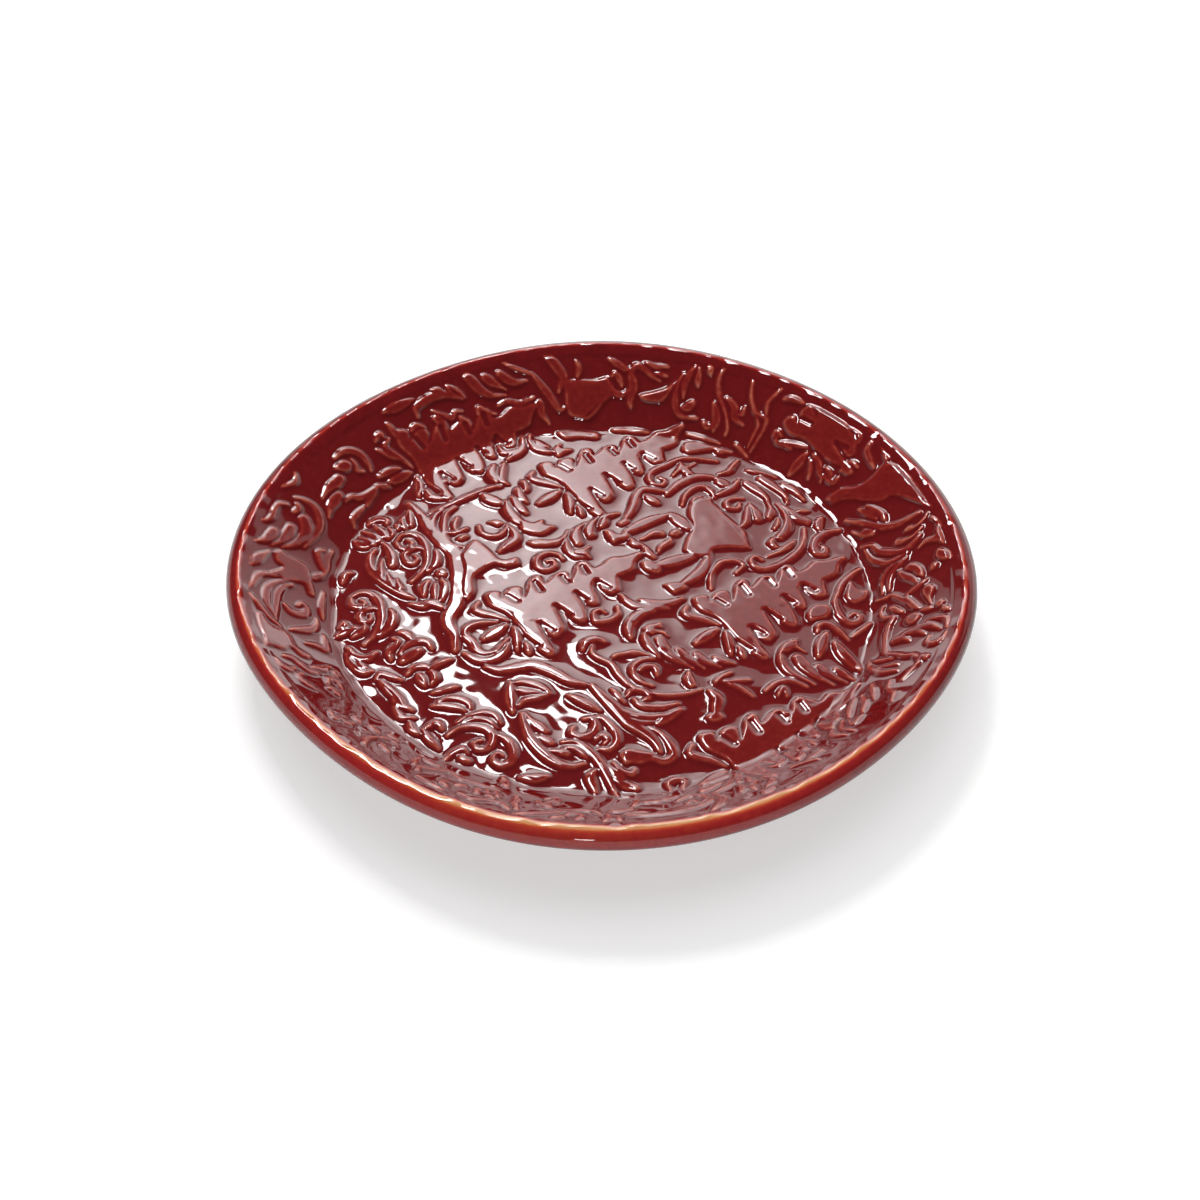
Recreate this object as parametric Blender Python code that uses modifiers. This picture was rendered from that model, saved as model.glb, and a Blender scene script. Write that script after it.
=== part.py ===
"""Round hand-built ceramic plate: a clay slab with a flared wall, a luted foot ring and the glaze coats.

Metres, +Z up. The origin is on the table, under the middle of the plate.
Every piece is turned about Z. The coats follow the middle line of the slab at a set distance,
so they keep to its shape when a size changes. The main figures of the embossed ornament stand on the
face glaze: they are drawn on a flat sheet, as the slab was when it was embossed, and bent onto the plate.
"""

import math

import bmesh
import bpy

# Driving dimensions, in metres
RIM_RADIUS = 0.110  # outermost point of the glazed edge
WELL_RADIUS = 0.081  # where the face of the floor meets the face of the wall
RIM_RISE = 0.0155  # top of the edge above the floor of the well
FOLD_RADIUS = 0.007  # hollow of the fold between floor and wall, on the glazed face
CLAY_THICKNESS = 0.005  # fired slab
GLAZE_THICKNESS = 0.0006  # fired coat
COAT_GAP = 0.0003  # clearance between a coat and the clay, and where two coats meet
RIM_LAP = 0.0015  # how far the edge band runs on past the round edge, on either side
FOOT_INSET = 0.012  # from the fold in to the outside of the foot ring
FOOT_WIDTH = 0.008  # foot ring where it is luted to the slab
FOOT_TREAD = 0.0045  # flat of the foot ring that stands on the table
FOOT_HEIGHT = 0.0058  # table to the underside of the slab
FOOT_SEAT_GAP = 0.0003  # clearance between the foot ring and the slab
FOOT_EASE = 0.0008  # rounding of the two edges of the tread
BARE_BAND = 0.0012  # clay left free of glaze beside the foot ring
ORNAMENT_HEIGHT = 0.0013  # raised strokes above the ground of the face
BODY_HEIGHT = 0.0009  # raised flat figures above the ground of the face
ORNAMENT_ROOT = 0.0003  # how deep a raised figure is let into the coat

# Facets of the turned shapes
TURN_STEPS = 72
FOLD_STEPS = 5
EDGE_STEPS = 8
EASE_STEPS = 3
AXIS_MERGE = 0.00001
WELD = 0.000001

# The section's own sizes
HALF_CLAY = CLAY_THICKNESS / 2
COAT_INSIDE = HALF_CLAY + COAT_GAP
COAT_OUTSIDE = COAT_INSIDE + GLAZE_THICKNESS
FLOOR_Z = FOOT_HEIGHT + HALF_CLAY
EDGE_R = RIM_RADIUS - COAT_OUTSIDE
EDGE_Z = FLOOR_Z + RIM_RISE

# The wall's face runs from the well's edge up to where it touches the round edge
WALL_RUN = EDGE_R - WELL_RADIUS
WALL_LIFT = RIM_RISE - COAT_OUTSIDE
SLOPE = math.atan2(WALL_LIFT, WALL_RUN) + math.asin(COAT_OUTSIDE / math.hypot(WALL_LIFT, WALL_RUN))
FOLD_MIDDLE_RADIUS = FOLD_RADIUS + COAT_OUTSIDE
FOLD_R = EDGE_R - RIM_RISE / math.tan(SLOPE) - FOLD_MIDDLE_RADIUS * math.tan(SLOPE / 2)

FOOT_OUTER = WELL_RADIUS - FOOT_INSET
FOOT_INNER = FOOT_OUTER - FOOT_WIDTH

# The face as the ornament finds it, measured along the slab from the middle of the floor
FACE_Z = FLOOR_Z + COAT_OUTSIDE
WALL_BEGIN = FOLD_R + FOLD_RADIUS * SLOPE
WALL_LENGTH = (EDGE_R - FOLD_R - FOLD_MIDDLE_RADIUS * math.sin(SLOPE)) / math.cos(SLOPE)
FACE_REACH = WALL_BEGIN + WALL_LENGTH - RIM_LAP - COAT_GAP

# The ornament's sheet. Its points are in units of its own, about a millimetre on a plate of 220 mm
STROKE_STEPS_PER_UNIT = 0.23
STROKE_END_SHARE = 0.55  # width of a stroke's ends, as a share of its full width
FLOOR_SHARE = 0.985  # how much of the floor's radius the flat figures may use
OAK_LEAF = [
    (-33, -6), (-34.5, -1.5), (-31, -0.5), (-30, -3.5), (-28, 1), (-25, 1.5), (-23.5, -3), (-21.5, 5),
    (-19.5, 7), (-17.5, 3.5), (-14, 8), (-11.5, 8.8), (-9.5, 5.5), (-7.5, 12.5), (-5.5, 13.8), (-3, 11),
    (0, 12.6), (6.5, 16.4), (11.5, 18.4), (8.8, 11), (4.4, 7.6), (4.6, 1.4), (2.4, 0.6), (-2, 5.4),
    (-3.4, 3), (-2, -4.6), (-4, -4.2), (-8, -1.2), (-5, -11.6), (-6.6, -12.4), (-11.8, -6.6),
    (-14.2, -7.4), (-11.6, -15.8), (-13, -18.6), (-17.4, -14.6), (-18.8, -14.8), (-14.2, -25.6),
    (-15.4, -26.8), (-21.6, -19.6), (-24.4, -15), (-28, -9.6),
]
OAK_LEAF_PLACES = [(0, 0), (62.2, -0.6), (14.2, 62.8)]

# Flat figures, each a closed outline on the sheet
BODIES = {
    "stag_body": [
        (27.3, 30), (25, 22), (25.2, 19.6), (29, 17), (33, 17.6), (38, 21.4), (44.6, 21.6), (43.6, 27),
        (40, 33.4), (34.6, 43), (33.6, 46), (29, 44.4), (27.4, 38),
    ],
    "shell": [
        (61.4, -10.8), (60.8, -8), (62, -5.4), (64.6, -3.8), (67.4, -4.2), (68.4, -6.6), (66.8, -9.6),
        (64, -10.8),
    ],
    "leaf_tip": [(-26, 33.5), (-22, 32.4), (-15, 31), (-19, 26.6), (-22.5, 27), (-25.8, 29)],
    "long_leaf": [(-15.6, 78), (-12, 78), (-3, 77.6), (-2, 76.6), (-8, 75.6), (-13, 75.2)],
    "scallop": [(-23.2, 23.4), (-16, 24.4), (-10.9, 29.6), (-13, 22.4), (-18.5, 21), (-22, 21.4)],
}

# Raised strokes, each a width and the points of its middle line on the sheet
STROKES = {
    "stag": [
        (3.4, [(20.5, 37.2), (15, 34.3), (10, 30.8), (4.4, 27)]),
        (3.6, [(20.8, 37.6), (24, 34), (28, 29)]),
        (2.6, [(20, 48.6), (16, 49.6), (12.6, 49.6), (10.6, 46.6), (9, 40), (5.5, 32.5)]),
        (3.8, [(29, 18.2), (21, 14.6), (13, 12.4)]),
        (3.4, [(32.6, 19), (30.6, 11.5), (27, 7), (20.6, 2.8)]),
        (2.6, [(20, 47.6), (24, 52.6), (28.6, 56), (33, 56.6), (39.8, 51.6)]),
        (2.4, [(24.8, 42.4), (26, 47), (28.6, 50.4), (31.6, 51.4), (35.2, 46.4)]),
    ],
    "low_stag": [
        (3.2, [(-33.4, -32.2), (-29, -33.6), (-24, -32.2), (-19.5, -31.4), (-14, -34), (-4.6, -39)]),
        (3.4, [(-3, -39), (2, -45.6), (8, -54), (12, -57.4), (15, -61), (16.4, -65)]),
        (2.6, [(5.8, -48.8), (9.6, -51.4), (14, -52), (18.6, -50.8)]),
        (2.4, [(9.2, -44.6), (11, -47), (14, -48), (21.8, -46.2)]),
        (2.8, [(30.6, -40.6), (33, -44), (32, -52)]),
        (3.0, [(7, -67.6), (11, -66), (15, -67)]),
    ],
    "trunk": [
        (4.4, [
            (-61.5, 41), (-55, 31), (-49, 21.5), (-45.6, 17.5), (-44, 11), (-43.4, 0), (-45.4, -11),
            (-42.6, -25.4),
        ]),
        (2.4, [(-46.8, 39.8), (-49.4, 36), (-49.8, 31), (-48, 22.6)]),
        (2.4, [(-54.6, 36.4), (-45.4, 43.2), (-37, 49), (-33, 50.4)]),
        (2.6, [(-40, -26.6), (-36, -29.4), (-32, -29.4), (-27.2, -22.4)]),
        (3.0, [(-34.8, -20.8), (-28.2, -14.6)]),
    ],
    "volutes": [
        (2.4, [
            (-64, 22), (-62.8, 25), (-60, 26.2), (-57, 24.8), (-53.8, 16.6), (-53.8, 11.6),
            (-57.8, 4.2),
        ]),
        (2.2, [(-54.2, 17.8), (-56.4, 19.6), (-59, 18.8), (-60.8, 16.4), (-60, 13.6), (-57.4, 13)]),
        (2.6, [(-75.2, -3.4), (-72.6, -1.4), (-69.6, -1.6), (-67, -4.4), (-65.2, -14), (-69.2, -23.8)]),
        (2.8, [(-70, 18.8), (-71.2, 15), (-70.6, 10), (-63.4, 1.4), (-56.8, -3.2)]),
        (3.0, [(-64.2, 11.8), (-66.6, 20), (-71.6, 30.6)]),
        (2.2, [
            (-12.4, 15.6), (-13.8, 17.4), (-17, 18), (-19.8, 15.8), (-20, 12.2), (-17.4, 10.2),
            (-15, 12),
        ]),
        (2.3, [
            (-42.6, -59.8), (-36.6, -56.2), (-33, -56.6), (-30.4, -58.6), (-30, -62), (-31.4, -64.8),
            (-34, -65),
        ]),
        (2.3, [(-30, -59.2), (-25, -62.6), (-24, -66.4), (-25, -70.2), (-27.6, -71), (-29.4, -69)]),
        (2.3, [(-1.2, -51.4), (1.6, -53.6), (4, -57.4), (4.4, -61.4), (2.4, -64.4), (-0.6, -64.2)]),
        (2.2, [
            (62.6, 31.6), (60.4, 21), (57, 16.6), (53, 13.4), (49, 12), (46.2, 13.2), (45.2, 15.6),
            (46.6, 17.6),
        ]),
        (2.6, [(73.6, 31), (69.6, 29.6), (66.6, 26.8), (65.2, 23), (65.6, 20), (67.8, 19.4)]),
        (2.2, [(70.2, 1), (69.6, -4), (70.6, -8.6), (73, -11.4), (75.6, -11.2), (76.4, -8.8)]),
        (2.2, [
            (36.4, 64.8), (25, 65.6), (20, 62.4), (15.6, 59), (14.4, 55.5), (15.6, 52.6), (18.4, 52),
        ]),
    ],
    "acanthus": [
        (3.0, [(-31, 43), (-29.8, 38), (-24, 31)]),
        (2.6, [(-27.6, 49.6), (-24.6, 42.6)]),
        (3.0, [(-7.8, 23.2), (-8.6, 26), (-5.4, 33)]),
        (2.8, [(-4, 27.4), (-3.6, 32.2), (-1.2, 36.2)]),
        (2.8, [(-29.4, 30.4), (-27.2, 24.4), (-31.8, 18.6)]),
        (3.2, [(15.8, -7.4), (11.5, -9), (9, -12), (8.4, -19.2)]),
        (2.6, [(5.4, -0.4), (7.6, -3.6), (11.5, -6), (19.8, -6.2)]),
        (3.2, [(16.8, -20), (20.8, -27.6), (26.4, -31.6)]),
        (3.0, [(22.2, -24.6), (29.6, -31.6)]),
        (2.4, [(2.8, -28), (9.5, -25), (15.2, -27.6)]),
        (3.2, [(57, -27), (61.8, -34.6), (66.4, -37.8)]),
        (3.0, [(62.6, -30.8), (70.2, -36.6)]),
        (2.8, [(48.4, 35.8), (46, 43.4)]),
        (2.8, [(54.8, 27.2), (57.6, 34), (54.6, 43.6)]),
        (2.8, [(-22.4, -50.8), (-19.6, -60.6), (-12.4, -69.4), (-8, -71), (-4.4, -69.8)]),
        (2.6, [(-10.8, -61.8), (-3.6, -64.4), (1.4, -73), (4.6, -82.4)]),
    ],
    "tulips": [
        (3.2, [(-57.8, -30.8), (-52.8, -25.4)]),
        (2.4, [(-73.8, -25.2), (-71.6, -28.6), (-68, -29.6), (-65.4, -26.8)]),
        (2.6, [(-63.6, -38.4), (-60.6, -42), (-55.4, -49)]),
        (2.4, [(-55.8, -35.8), (-53.6, -32.8), (-51, -32.6), (-47.8, -37), (-48.6, -40)]),
        (2.4, [(-47.6, -48), (-43, -45.4), (-37.4, -47.4)]),
        (2.8, [(-26, -38.4), (-25.6, -46), (-24.8, -50.6)]),
        (2.4, [(-21.6, -38.4), (-14.4, -42.8)]),
        (3.0, [(-35.6, 61.2), (-36.2, 57), (-34, 52.2)]),
        (2.8, [(-27, 75.4), (-26.8, 71), (-31.2, 64.2)]),
        (2.4, [(-24.6, 76.8), (-24.4, 73), (-22, 70), (-15, 69)]),
        (3.0, [(66, -16.2), (64.4, -20.6), (63, -26.2)]),
        (3.2, [(68, -20.2), (74.6, -31.6)]),
    ],
    "wall": [
        (3.0, [(-20.6, 102.4), (-18, 101), (-16, 98.6), (-14.4, 95)]),
        (3.0, [(-46.4, 93.6), (-42, 90.2), (-38, 89.2), (-33.6, 90)]),
        (2.8, [(8.6, 88.4), (9.4, 95.4), (8.6, 101)]),
        (3.2, [(12, 91.6), (16, 92.2), (23.6, 95.6)]),
        (2.2, [(26.6, 98.8), (24.4, 95), (23.6, 90.4), (26, 84)]),
        (2.8, [(36.6, 87.8), (37.2, 84.4), (35.8, 80)]),
        (2.2, [(50, 91), (49.4, 88), (50.6, 82)]),
        (2.4, [(72, 44), (80, 43), (88, 41), (97, 37)]),
        (2.4, [(75.8, 34.2), (85, 28), (92, 25.2), (99.6, 26.8)]),
        (2.4, [(82, 20.6), (88, 15.4), (94, 14), (98.8, 17.8)]),
        (2.2, [(86.6, 0), (87, 4), (93.4, 10.6)]),
        (2.2, [(86, -13), (83.8, -20), (83.2, -28)]),
        (3.0, [(94.2, -22.8), (100.8, -27.8)]),
        (2.2, [(87, -32.6), (93.2, -38.4), (87.8, -47.2)]),
        (2.2, [(72.4, -46.4), (70.6, -57.4)]),
        (2.2, [(45, -70.6), (36.6, -77.2), (35, -83), (30.6, -87.6)]),
        (2.4, [(30, -94.4), (24, -99), (13, -101.2), (7.6, -101)]),
        (2.2, [(-19, -103), (-10, -98.6), (-2, -97.4)]),
        (2.2, [(-42.2, -77.4), (-37.4, -82.6), (-27.6, -86.2)]),
        (2.4, [(-66.8, -79.2), (-66, -74), (-62.8, -69.8)]),
        (2.6, [(-93.2, -42.4), (-88, -43), (-82.2, -43.4)]),
        (2.4, [(-84.6, -15.2), (-84, -22), (-92.2, -26.6)]),
        (2.4, [(-96.8, -5.8), (-100.6, -12), (-100.6, -16), (-96.8, -24.4)]),
        (2.4, [(-97.2, 30.6), (-91, 30), (-88.2, 23.6), (-92, 12.6)]),
        (3.2, [(-96.8, 18), (-97.4, 15), (-101.6, 8)]),
        (2.4, [(-87.2, 51.6), (-85, 55), (-79, 56), (-75.2, 51.8)]),
        (2.8, [(-63.4, 79), (-57.6, 85), (-48.2, 86.4)]),
    ],
}

# The sheet is laid out so that its farthest stroke just stays on the face
SHEET_REACH = max(
    math.hypot(*point) + width
    for strokes in STROKES.values() for width, points in strokes for point in points
)
SHEET_UNIT = FACE_REACH / SHEET_REACH
FLOOR_REACH = FLOOR_SHARE * FOLD_R / SHEET_UNIT


def floor_point(radius, offset):
    """Point of the floor, offset above the slab's middle line, or below it where the offset is negative."""
    return (radius, FLOOR_Z + offset)


def fold_points(offset):
    """Arc that turns the floor up into the wall, from the floor outwards."""
    radius = FOLD_MIDDLE_RADIUS - offset
    points = []
    for step in range(FOLD_STEPS + 1):
        angle = SLOPE * step / FOLD_STEPS
        rise = FOLD_MIDDLE_RADIUS - radius * math.cos(angle)
        points.append((FOLD_R + radius * math.sin(angle), FLOOR_Z + rise))
    return points


def wall_point(below_edge, offset):
    """Point of the wall, measured down its slope from the middle of the round edge."""
    r = EDGE_R - below_edge * math.cos(SLOPE) - offset * math.sin(SLOPE)
    z = EDGE_Z - below_edge * math.sin(SLOPE) + offset * math.cos(SLOPE)
    return (r, z)


def slab_line(start, offset):
    """Line that follows the slab, from a radius on the floor up to where the edge band begins."""
    return [floor_point(start, offset), *fold_points(offset), wall_point(RIM_LAP + COAT_GAP, offset)]


def edge_points(radius):
    """Half circle round the end of the wall, from its face over the top to its back."""
    points = []
    for step in range(EDGE_STEPS + 1):
        angle = SLOPE + math.pi / 2 - math.pi * step / EDGE_STEPS
        points.append((EDGE_R + radius * math.cos(angle), EDGE_Z + radius * math.sin(angle)))
    return points


def rounded_corner(before, corner, after, radius):
    """Arc of the given radius that rounds a corner between two straight sides."""
    to_before = (before[0] - corner[0], before[1] - corner[1])
    to_after = (after[0] - corner[0], after[1] - corner[1])
    start_angle = math.atan2(to_before[1], to_before[0])
    turn = math.remainder(math.atan2(to_after[1], to_after[0]) - start_angle, math.tau)
    middle_angle = start_angle + turn / 2
    reach = radius / abs(math.sin(turn / 2))
    centre = (corner[0] + reach * math.cos(middle_angle), corner[1] + reach * math.sin(middle_angle))
    sweep = math.pi - abs(turn)
    facing = middle_angle + math.pi
    direction = math.copysign(1, turn)
    points = []
    for step in range(EASE_STEPS + 1):
        angle = facing + direction * sweep * (0.5 - step / EASE_STEPS)
        points.append((centre[0] + radius * math.cos(angle), centre[1] + radius * math.sin(angle)))
    return points


def on_face(x, y, lift):
    """Point of the ornament's sheet, bent onto the face with the floor, the fold and the wall under it."""
    run = math.hypot(x, y)
    turned = min(max((run - FOLD_R) / FOLD_RADIUS, 0), SLOPE)
    past = max(run - WALL_BEGIN, 0)
    hollow = FOLD_RADIUS - lift
    radius = min(run, FOLD_R) + hollow * math.sin(turned) + past * math.cos(SLOPE)
    z = FACE_Z + FOLD_RADIUS - hollow * math.cos(turned) + past * math.sin(SLOPE)
    return (x / run * radius, y / run * radius, z)


def smooth_line(points):
    """Catmull-Rom curve through the points of a stroke."""
    first, second = points[:2]
    before_last, last = points[-2:]
    lead = (2 * first[0] - second[0], 2 * first[1] - second[1])
    trail = (2 * last[0] - before_last[0], 2 * last[1] - before_last[1])
    knots = [lead, *points, trail]
    line = []
    for a, b, c, d in zip(knots, knots[1:], knots[2:], knots[3:]):
        steps = max(1, round(math.dist(b, c) * STROKE_STEPS_PER_UNIT))
        for step in range(steps):
            t = step / steps
            weights = (-t + 2 * t**2 - t**3, 2 - 5 * t**2 + 3 * t**3, t + 4 * t**2 - 3 * t**3, t**3 - t**2)
            x, y = (sum(w * p for w, p in zip(weights, places)) / 2 for places in zip(a, b, c, d))
            line.append((x, y))
    return [*line, last]


def stroke_outline(width, points):
    """Outline of a stroke, full in its middle and narrow at its ends."""
    line = smooth_line(points)
    left = []
    right = []
    for index, (x, y) in enumerate(line):
        before = line[max(index - 1, 0)]
        after = line[min(index + 1, len(line) - 1)]
        length = math.dist(before, after)
        across = ((before[1] - after[1]) / length, (after[0] - before[0]) / length)
        share = index / (len(line) - 1)
        fullness = 2 * math.sqrt(share * (1 - share))
        half = width / 2 * (STROKE_END_SHARE + (1 - STROKE_END_SHARE) * fullness)
        left.append((x + across[0] * half, y + across[1] * half))
        right.append((x - across[0] * half, y - across[1] * half))
    return left + right[::-1]


def kept_on_floor(outline):
    """Outline of a flat figure with the points that would climb the fold drawn in to the floor."""
    shares = [min(1, FLOOR_REACH / math.hypot(x, y)) for x, y in outline]
    return [(x * share, y * share) for (x, y), share in zip(outline, shares)]


def clay_slab_profile():
    top = [floor_point(0, HALF_CLAY), *fold_points(HALF_CLAY)]
    bottom = [*reversed(fold_points(-HALF_CLAY)), floor_point(0, -HALF_CLAY)]
    return top + edge_points(HALF_CLAY) + bottom


def face_glaze_profile():
    return slab_line(0, COAT_OUTSIDE) + slab_line(0, COAT_INSIDE)[::-1]


def rim_glaze_profile():
    outside = [
        wall_point(RIM_LAP, COAT_OUTSIDE),
        *edge_points(COAT_OUTSIDE),
        wall_point(RIM_LAP, -COAT_OUTSIDE),
    ]
    inside = [
        wall_point(RIM_LAP, COAT_INSIDE),
        *edge_points(COAT_INSIDE),
        wall_point(RIM_LAP, -COAT_INSIDE),
    ]
    return outside + inside[::-1]


def back_glaze_profile():
    start = FOOT_OUTER + BARE_BAND
    return slab_line(start, -COAT_INSIDE) + slab_line(start, -COAT_OUTSIDE)[::-1]


def base_glaze_profile():
    end = FOOT_INNER - BARE_BAND
    return [
        floor_point(0, -COAT_INSIDE),
        floor_point(end, -COAT_INSIDE),
        floor_point(end, -COAT_OUTSIDE),
        floor_point(0, -COAT_OUTSIDE),
    ]


def foot_ring_profile():
    seat_z = FOOT_HEIGHT - FOOT_SEAT_GAP
    middle = (FOOT_INNER + FOOT_OUTER) / 2
    top_inner = (FOOT_INNER, seat_z)
    top_outer = (FOOT_OUTER, seat_z)
    tread_outer = (middle + FOOT_TREAD / 2, 0)
    tread_inner = (middle - FOOT_TREAD / 2, 0)
    return [
        top_inner,
        top_outer,
        *rounded_corner(top_outer, tread_outer, tread_inner, FOOT_EASE),
        *rounded_corner(tread_outer, tread_inner, top_inner, FOOT_EASE),
    ]


def ceramic_material(name, colour, roughness):
    material = bpy.data.materials.new(name)
    material.use_nodes = True
    material.diffuse_color = (*colour, 1)
    shader = material.node_tree.nodes["Principled BSDF"]
    shader.inputs["Base Color"].default_value = (*colour, 1)
    shader.inputs["Roughness"].default_value = roughness
    shader.inputs["Metallic"].default_value = 0
    return material


def turned_piece(name, profile, closed, material, collection):
    """Turns a profile about Z. A closed one makes a ring, and an open one starts and ends on the axis."""
    edges = [(index, index + 1) for index in range(len(profile) - 1)]
    if closed:
        edges.append((len(profile) - 1, 0))
    mesh = bpy.data.meshes.new(name)
    mesh.from_pydata([(r, 0, z) for r, z in profile], edges, [])
    mesh.materials.append(material)
    piece = bpy.data.objects.new(name, mesh)
    collection.objects.link(piece)
    screw = piece.modifiers.new("Turn", "SCREW")
    screw.axis = "Z"
    screw.steps = TURN_STEPS
    screw.render_steps = TURN_STEPS
    screw.use_merge_vertices = True
    screw.merge_threshold = AXIS_MERGE
    screw.use_smooth_shade = True
    return piece


def flat_figure(name, outline, height, collection):
    """Filled outline on the sheet, as thick as the figure is high, with its underside let into the coat."""
    curve = bpy.data.curves.new(name, "CURVE")
    curve.dimensions = "2D"
    curve.fill_mode = "BOTH"
    curve.extrude = (height + ORNAMENT_ROOT) / 2
    spline = curve.splines.new("POLY")
    spline.points.add(len(outline) - 1)
    for point, (x, y) in zip(spline.points, outline):
        point.co = (x * SHEET_UNIT, y * SHEET_UNIT, 0, 1)
    spline.use_cyclic_u = True
    figure = bpy.data.objects.new(name, curve)
    figure.location.z = (height - ORNAMENT_ROOT) / 2
    collection.objects.link(figure)
    return figure


def bent_figure(flat, depsgraph, collection):
    """Closed mesh of a flat figure, bent onto the face."""
    mesh = bpy.data.meshes.new_from_object(flat.evaluated_get(depsgraph))
    shape = bmesh.new()
    shape.from_mesh(mesh)
    bmesh.ops.remove_doubles(shape, verts=shape.verts, dist=WELD)
    for vert in shape.verts:
        vert.co = on_face(vert.co.x, vert.co.y, vert.co.z + flat.location.z)
    bmesh.ops.recalc_face_normals(shape, faces=shape.faces)
    shape.to_mesh(mesh)
    shape.free()
    figure = bpy.data.objects.new(flat.name + "_raised", mesh)
    figure.display_type = "WIRE"
    figure.hide_render = True
    collection.objects.link(figure)


def raised_figures():
    """Collection of the ornament's main figures, ready to be joined to the face."""
    sheet = bpy.data.collections.new("ornament_sheet")
    bpy.context.scene.collection.children.link(sheet)
    flat = []
    for index, (shift_x, shift_y) in enumerate(OAK_LEAF_PLACES):
        leaf = [(x + shift_x, y + shift_y) for x, y in OAK_LEAF]
        flat.append(flat_figure(f"oak_leaf_{index}", kept_on_floor(leaf), BODY_HEIGHT, sheet))
    for name, outline in BODIES.items():
        flat.append(flat_figure(name, kept_on_floor(outline), BODY_HEIGHT, sheet))
    for name, strokes in STROKES.items():
        for index, (width, points) in enumerate(strokes):
            outline = stroke_outline(width, points)
            flat.append(flat_figure(f"{name}_{index}", outline, ORNAMENT_HEIGHT, sheet))
    figures = bpy.data.collections.new("raised_figures")
    bpy.context.scene.collection.children.link(figures)
    depsgraph = bpy.context.evaluated_depsgraph_get()
    for figure in flat:
        bent_figure(figure, depsgraph, figures)
    for figure in flat:
        bpy.data.objects.remove(figure)
    return figures


def join_figures(face, figures):
    """Joins the figures to the face, which is then shaded flat so that their edges stay crisp."""
    face.modifiers["Turn"].use_smooth_shade = False
    union = face.modifiers.new("Raised figures", "BOOLEAN")
    union.operation = "UNION"
    union.solver = "EXACT"
    union.operand_type = "COLLECTION"
    union.collection = figures


def main():
    for old in list(bpy.data.objects):
        bpy.data.objects.remove(old)
    plate = bpy.data.collections.new("ceramic_plate")
    bpy.context.scene.collection.children.link(plate)

    clay = ceramic_material("fired_clay", (0.56, 0.37, 0.24), 0.85)
    bare_foot = ceramic_material("bare_foot", (0.50, 0.32, 0.20), 0.9)
    red_face = ceramic_material("red_face_glaze", (0.15, 0.012, 0.010), 0.12)
    orange_edge = ceramic_material("orange_edge_glaze", (0.38, 0.08, 0.025), 0.15)
    red_back = ceramic_material("red_back_glaze", (0.16, 0.014, 0.010), 0.15)
    red_base = ceramic_material("red_base_glaze", (0.16, 0.014, 0.010), 0.2)

    turned_piece("clay_slab", clay_slab_profile(), False, clay, plate)
    turned_piece("foot_ring", foot_ring_profile(), True, bare_foot, plate)
    face = turned_piece("face_glaze", face_glaze_profile(), False, red_face, plate)
    join_figures(face, raised_figures())
    turned_piece("rim_glaze", rim_glaze_profile(), True, orange_edge, plate)
    turned_piece("back_glaze", back_glaze_profile(), True, red_back, plate)
    turned_piece("base_glaze", base_glaze_profile(), False, red_base, plate)


main()
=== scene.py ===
import math

import bmesh
import bpy
import numpy as np
from mathutils import Matrix, Vector


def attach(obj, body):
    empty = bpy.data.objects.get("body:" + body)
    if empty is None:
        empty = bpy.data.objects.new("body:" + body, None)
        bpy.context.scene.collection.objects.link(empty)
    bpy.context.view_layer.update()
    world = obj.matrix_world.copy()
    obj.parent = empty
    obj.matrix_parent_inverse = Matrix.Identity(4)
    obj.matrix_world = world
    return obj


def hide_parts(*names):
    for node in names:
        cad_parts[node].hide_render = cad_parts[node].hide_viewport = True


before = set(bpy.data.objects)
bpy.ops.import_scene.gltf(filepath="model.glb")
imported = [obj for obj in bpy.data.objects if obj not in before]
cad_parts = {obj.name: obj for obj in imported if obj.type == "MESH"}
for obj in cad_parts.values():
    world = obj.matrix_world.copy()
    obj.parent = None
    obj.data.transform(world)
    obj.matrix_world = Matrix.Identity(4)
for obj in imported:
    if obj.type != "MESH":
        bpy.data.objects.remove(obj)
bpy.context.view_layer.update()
mm = 0.001

# the plate's section in mm, as it was packed: the coats lie at a set distance from the slab's middle line
section = {
    "rimRadius": 110.0,
    "wellRadius": 81.0,
    "rimRise": 15.5,
    "foldRadius": 7.0,
    "halfClay": 2.5,
    "coatInside": 2.8,
    "coatOutside": 3.4,
    "footHeight": 5.8,
    "rimLap": 1.5,
}
coat = section["coatOutside"] - section["coatInside"]
middleZ = section["footHeight"] + section["halfClay"]
faceZ = middleZ + section["coatOutside"]
edgeR = section["rimRadius"] - section["coatOutside"]
edgeZ = middleZ + section["rimRise"]
wallRun = edgeR - section["wellRadius"]
wallLift = section["rimRise"] - section["coatOutside"]
slope = math.atan2(wallLift, wallRun) + math.asin(section["coatOutside"] / math.hypot(wallLift, wallRun))
foldMiddle = section["foldRadius"] + section["coatOutside"]
foldStart = edgeR - section["rimRise"] / math.tan(slope) - foldMiddle * math.tan(slope / 2)
foldEnd = foldStart + section["foldRadius"] * slope
edgeStart = foldEnd + (edgeR - foldStart - foldMiddle * math.sin(slope)) / math.cos(slope)

# how far the hand-built rim strays from a true circle: (waves round the plate, phase in degrees, mm)
unevenness = {
    "from": 78.0,  # the well inside this radius is true
    "rise": ((2, 239.0, 0.2), (3, 108.0, 0.16)),
    "reach": (
        (0, 180.0, 0.25), (1, 262.0, 1.25), (2, 154.0, 0.2),
        (3, 250.0, 0.55), (4, 3.0, 1.0), (7, 71.0, 0.15),
    ),
}


def smoothStep(low, high, value):
    share = np.clip((value - low) / (high - low), 0, 1)
    return share * share * (3 - 2 * share)


def wavesAt(waves, angle):
    return sum(size * np.cos(count * angle + math.radians(phase)) for count, phase, size in waves)


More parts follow.
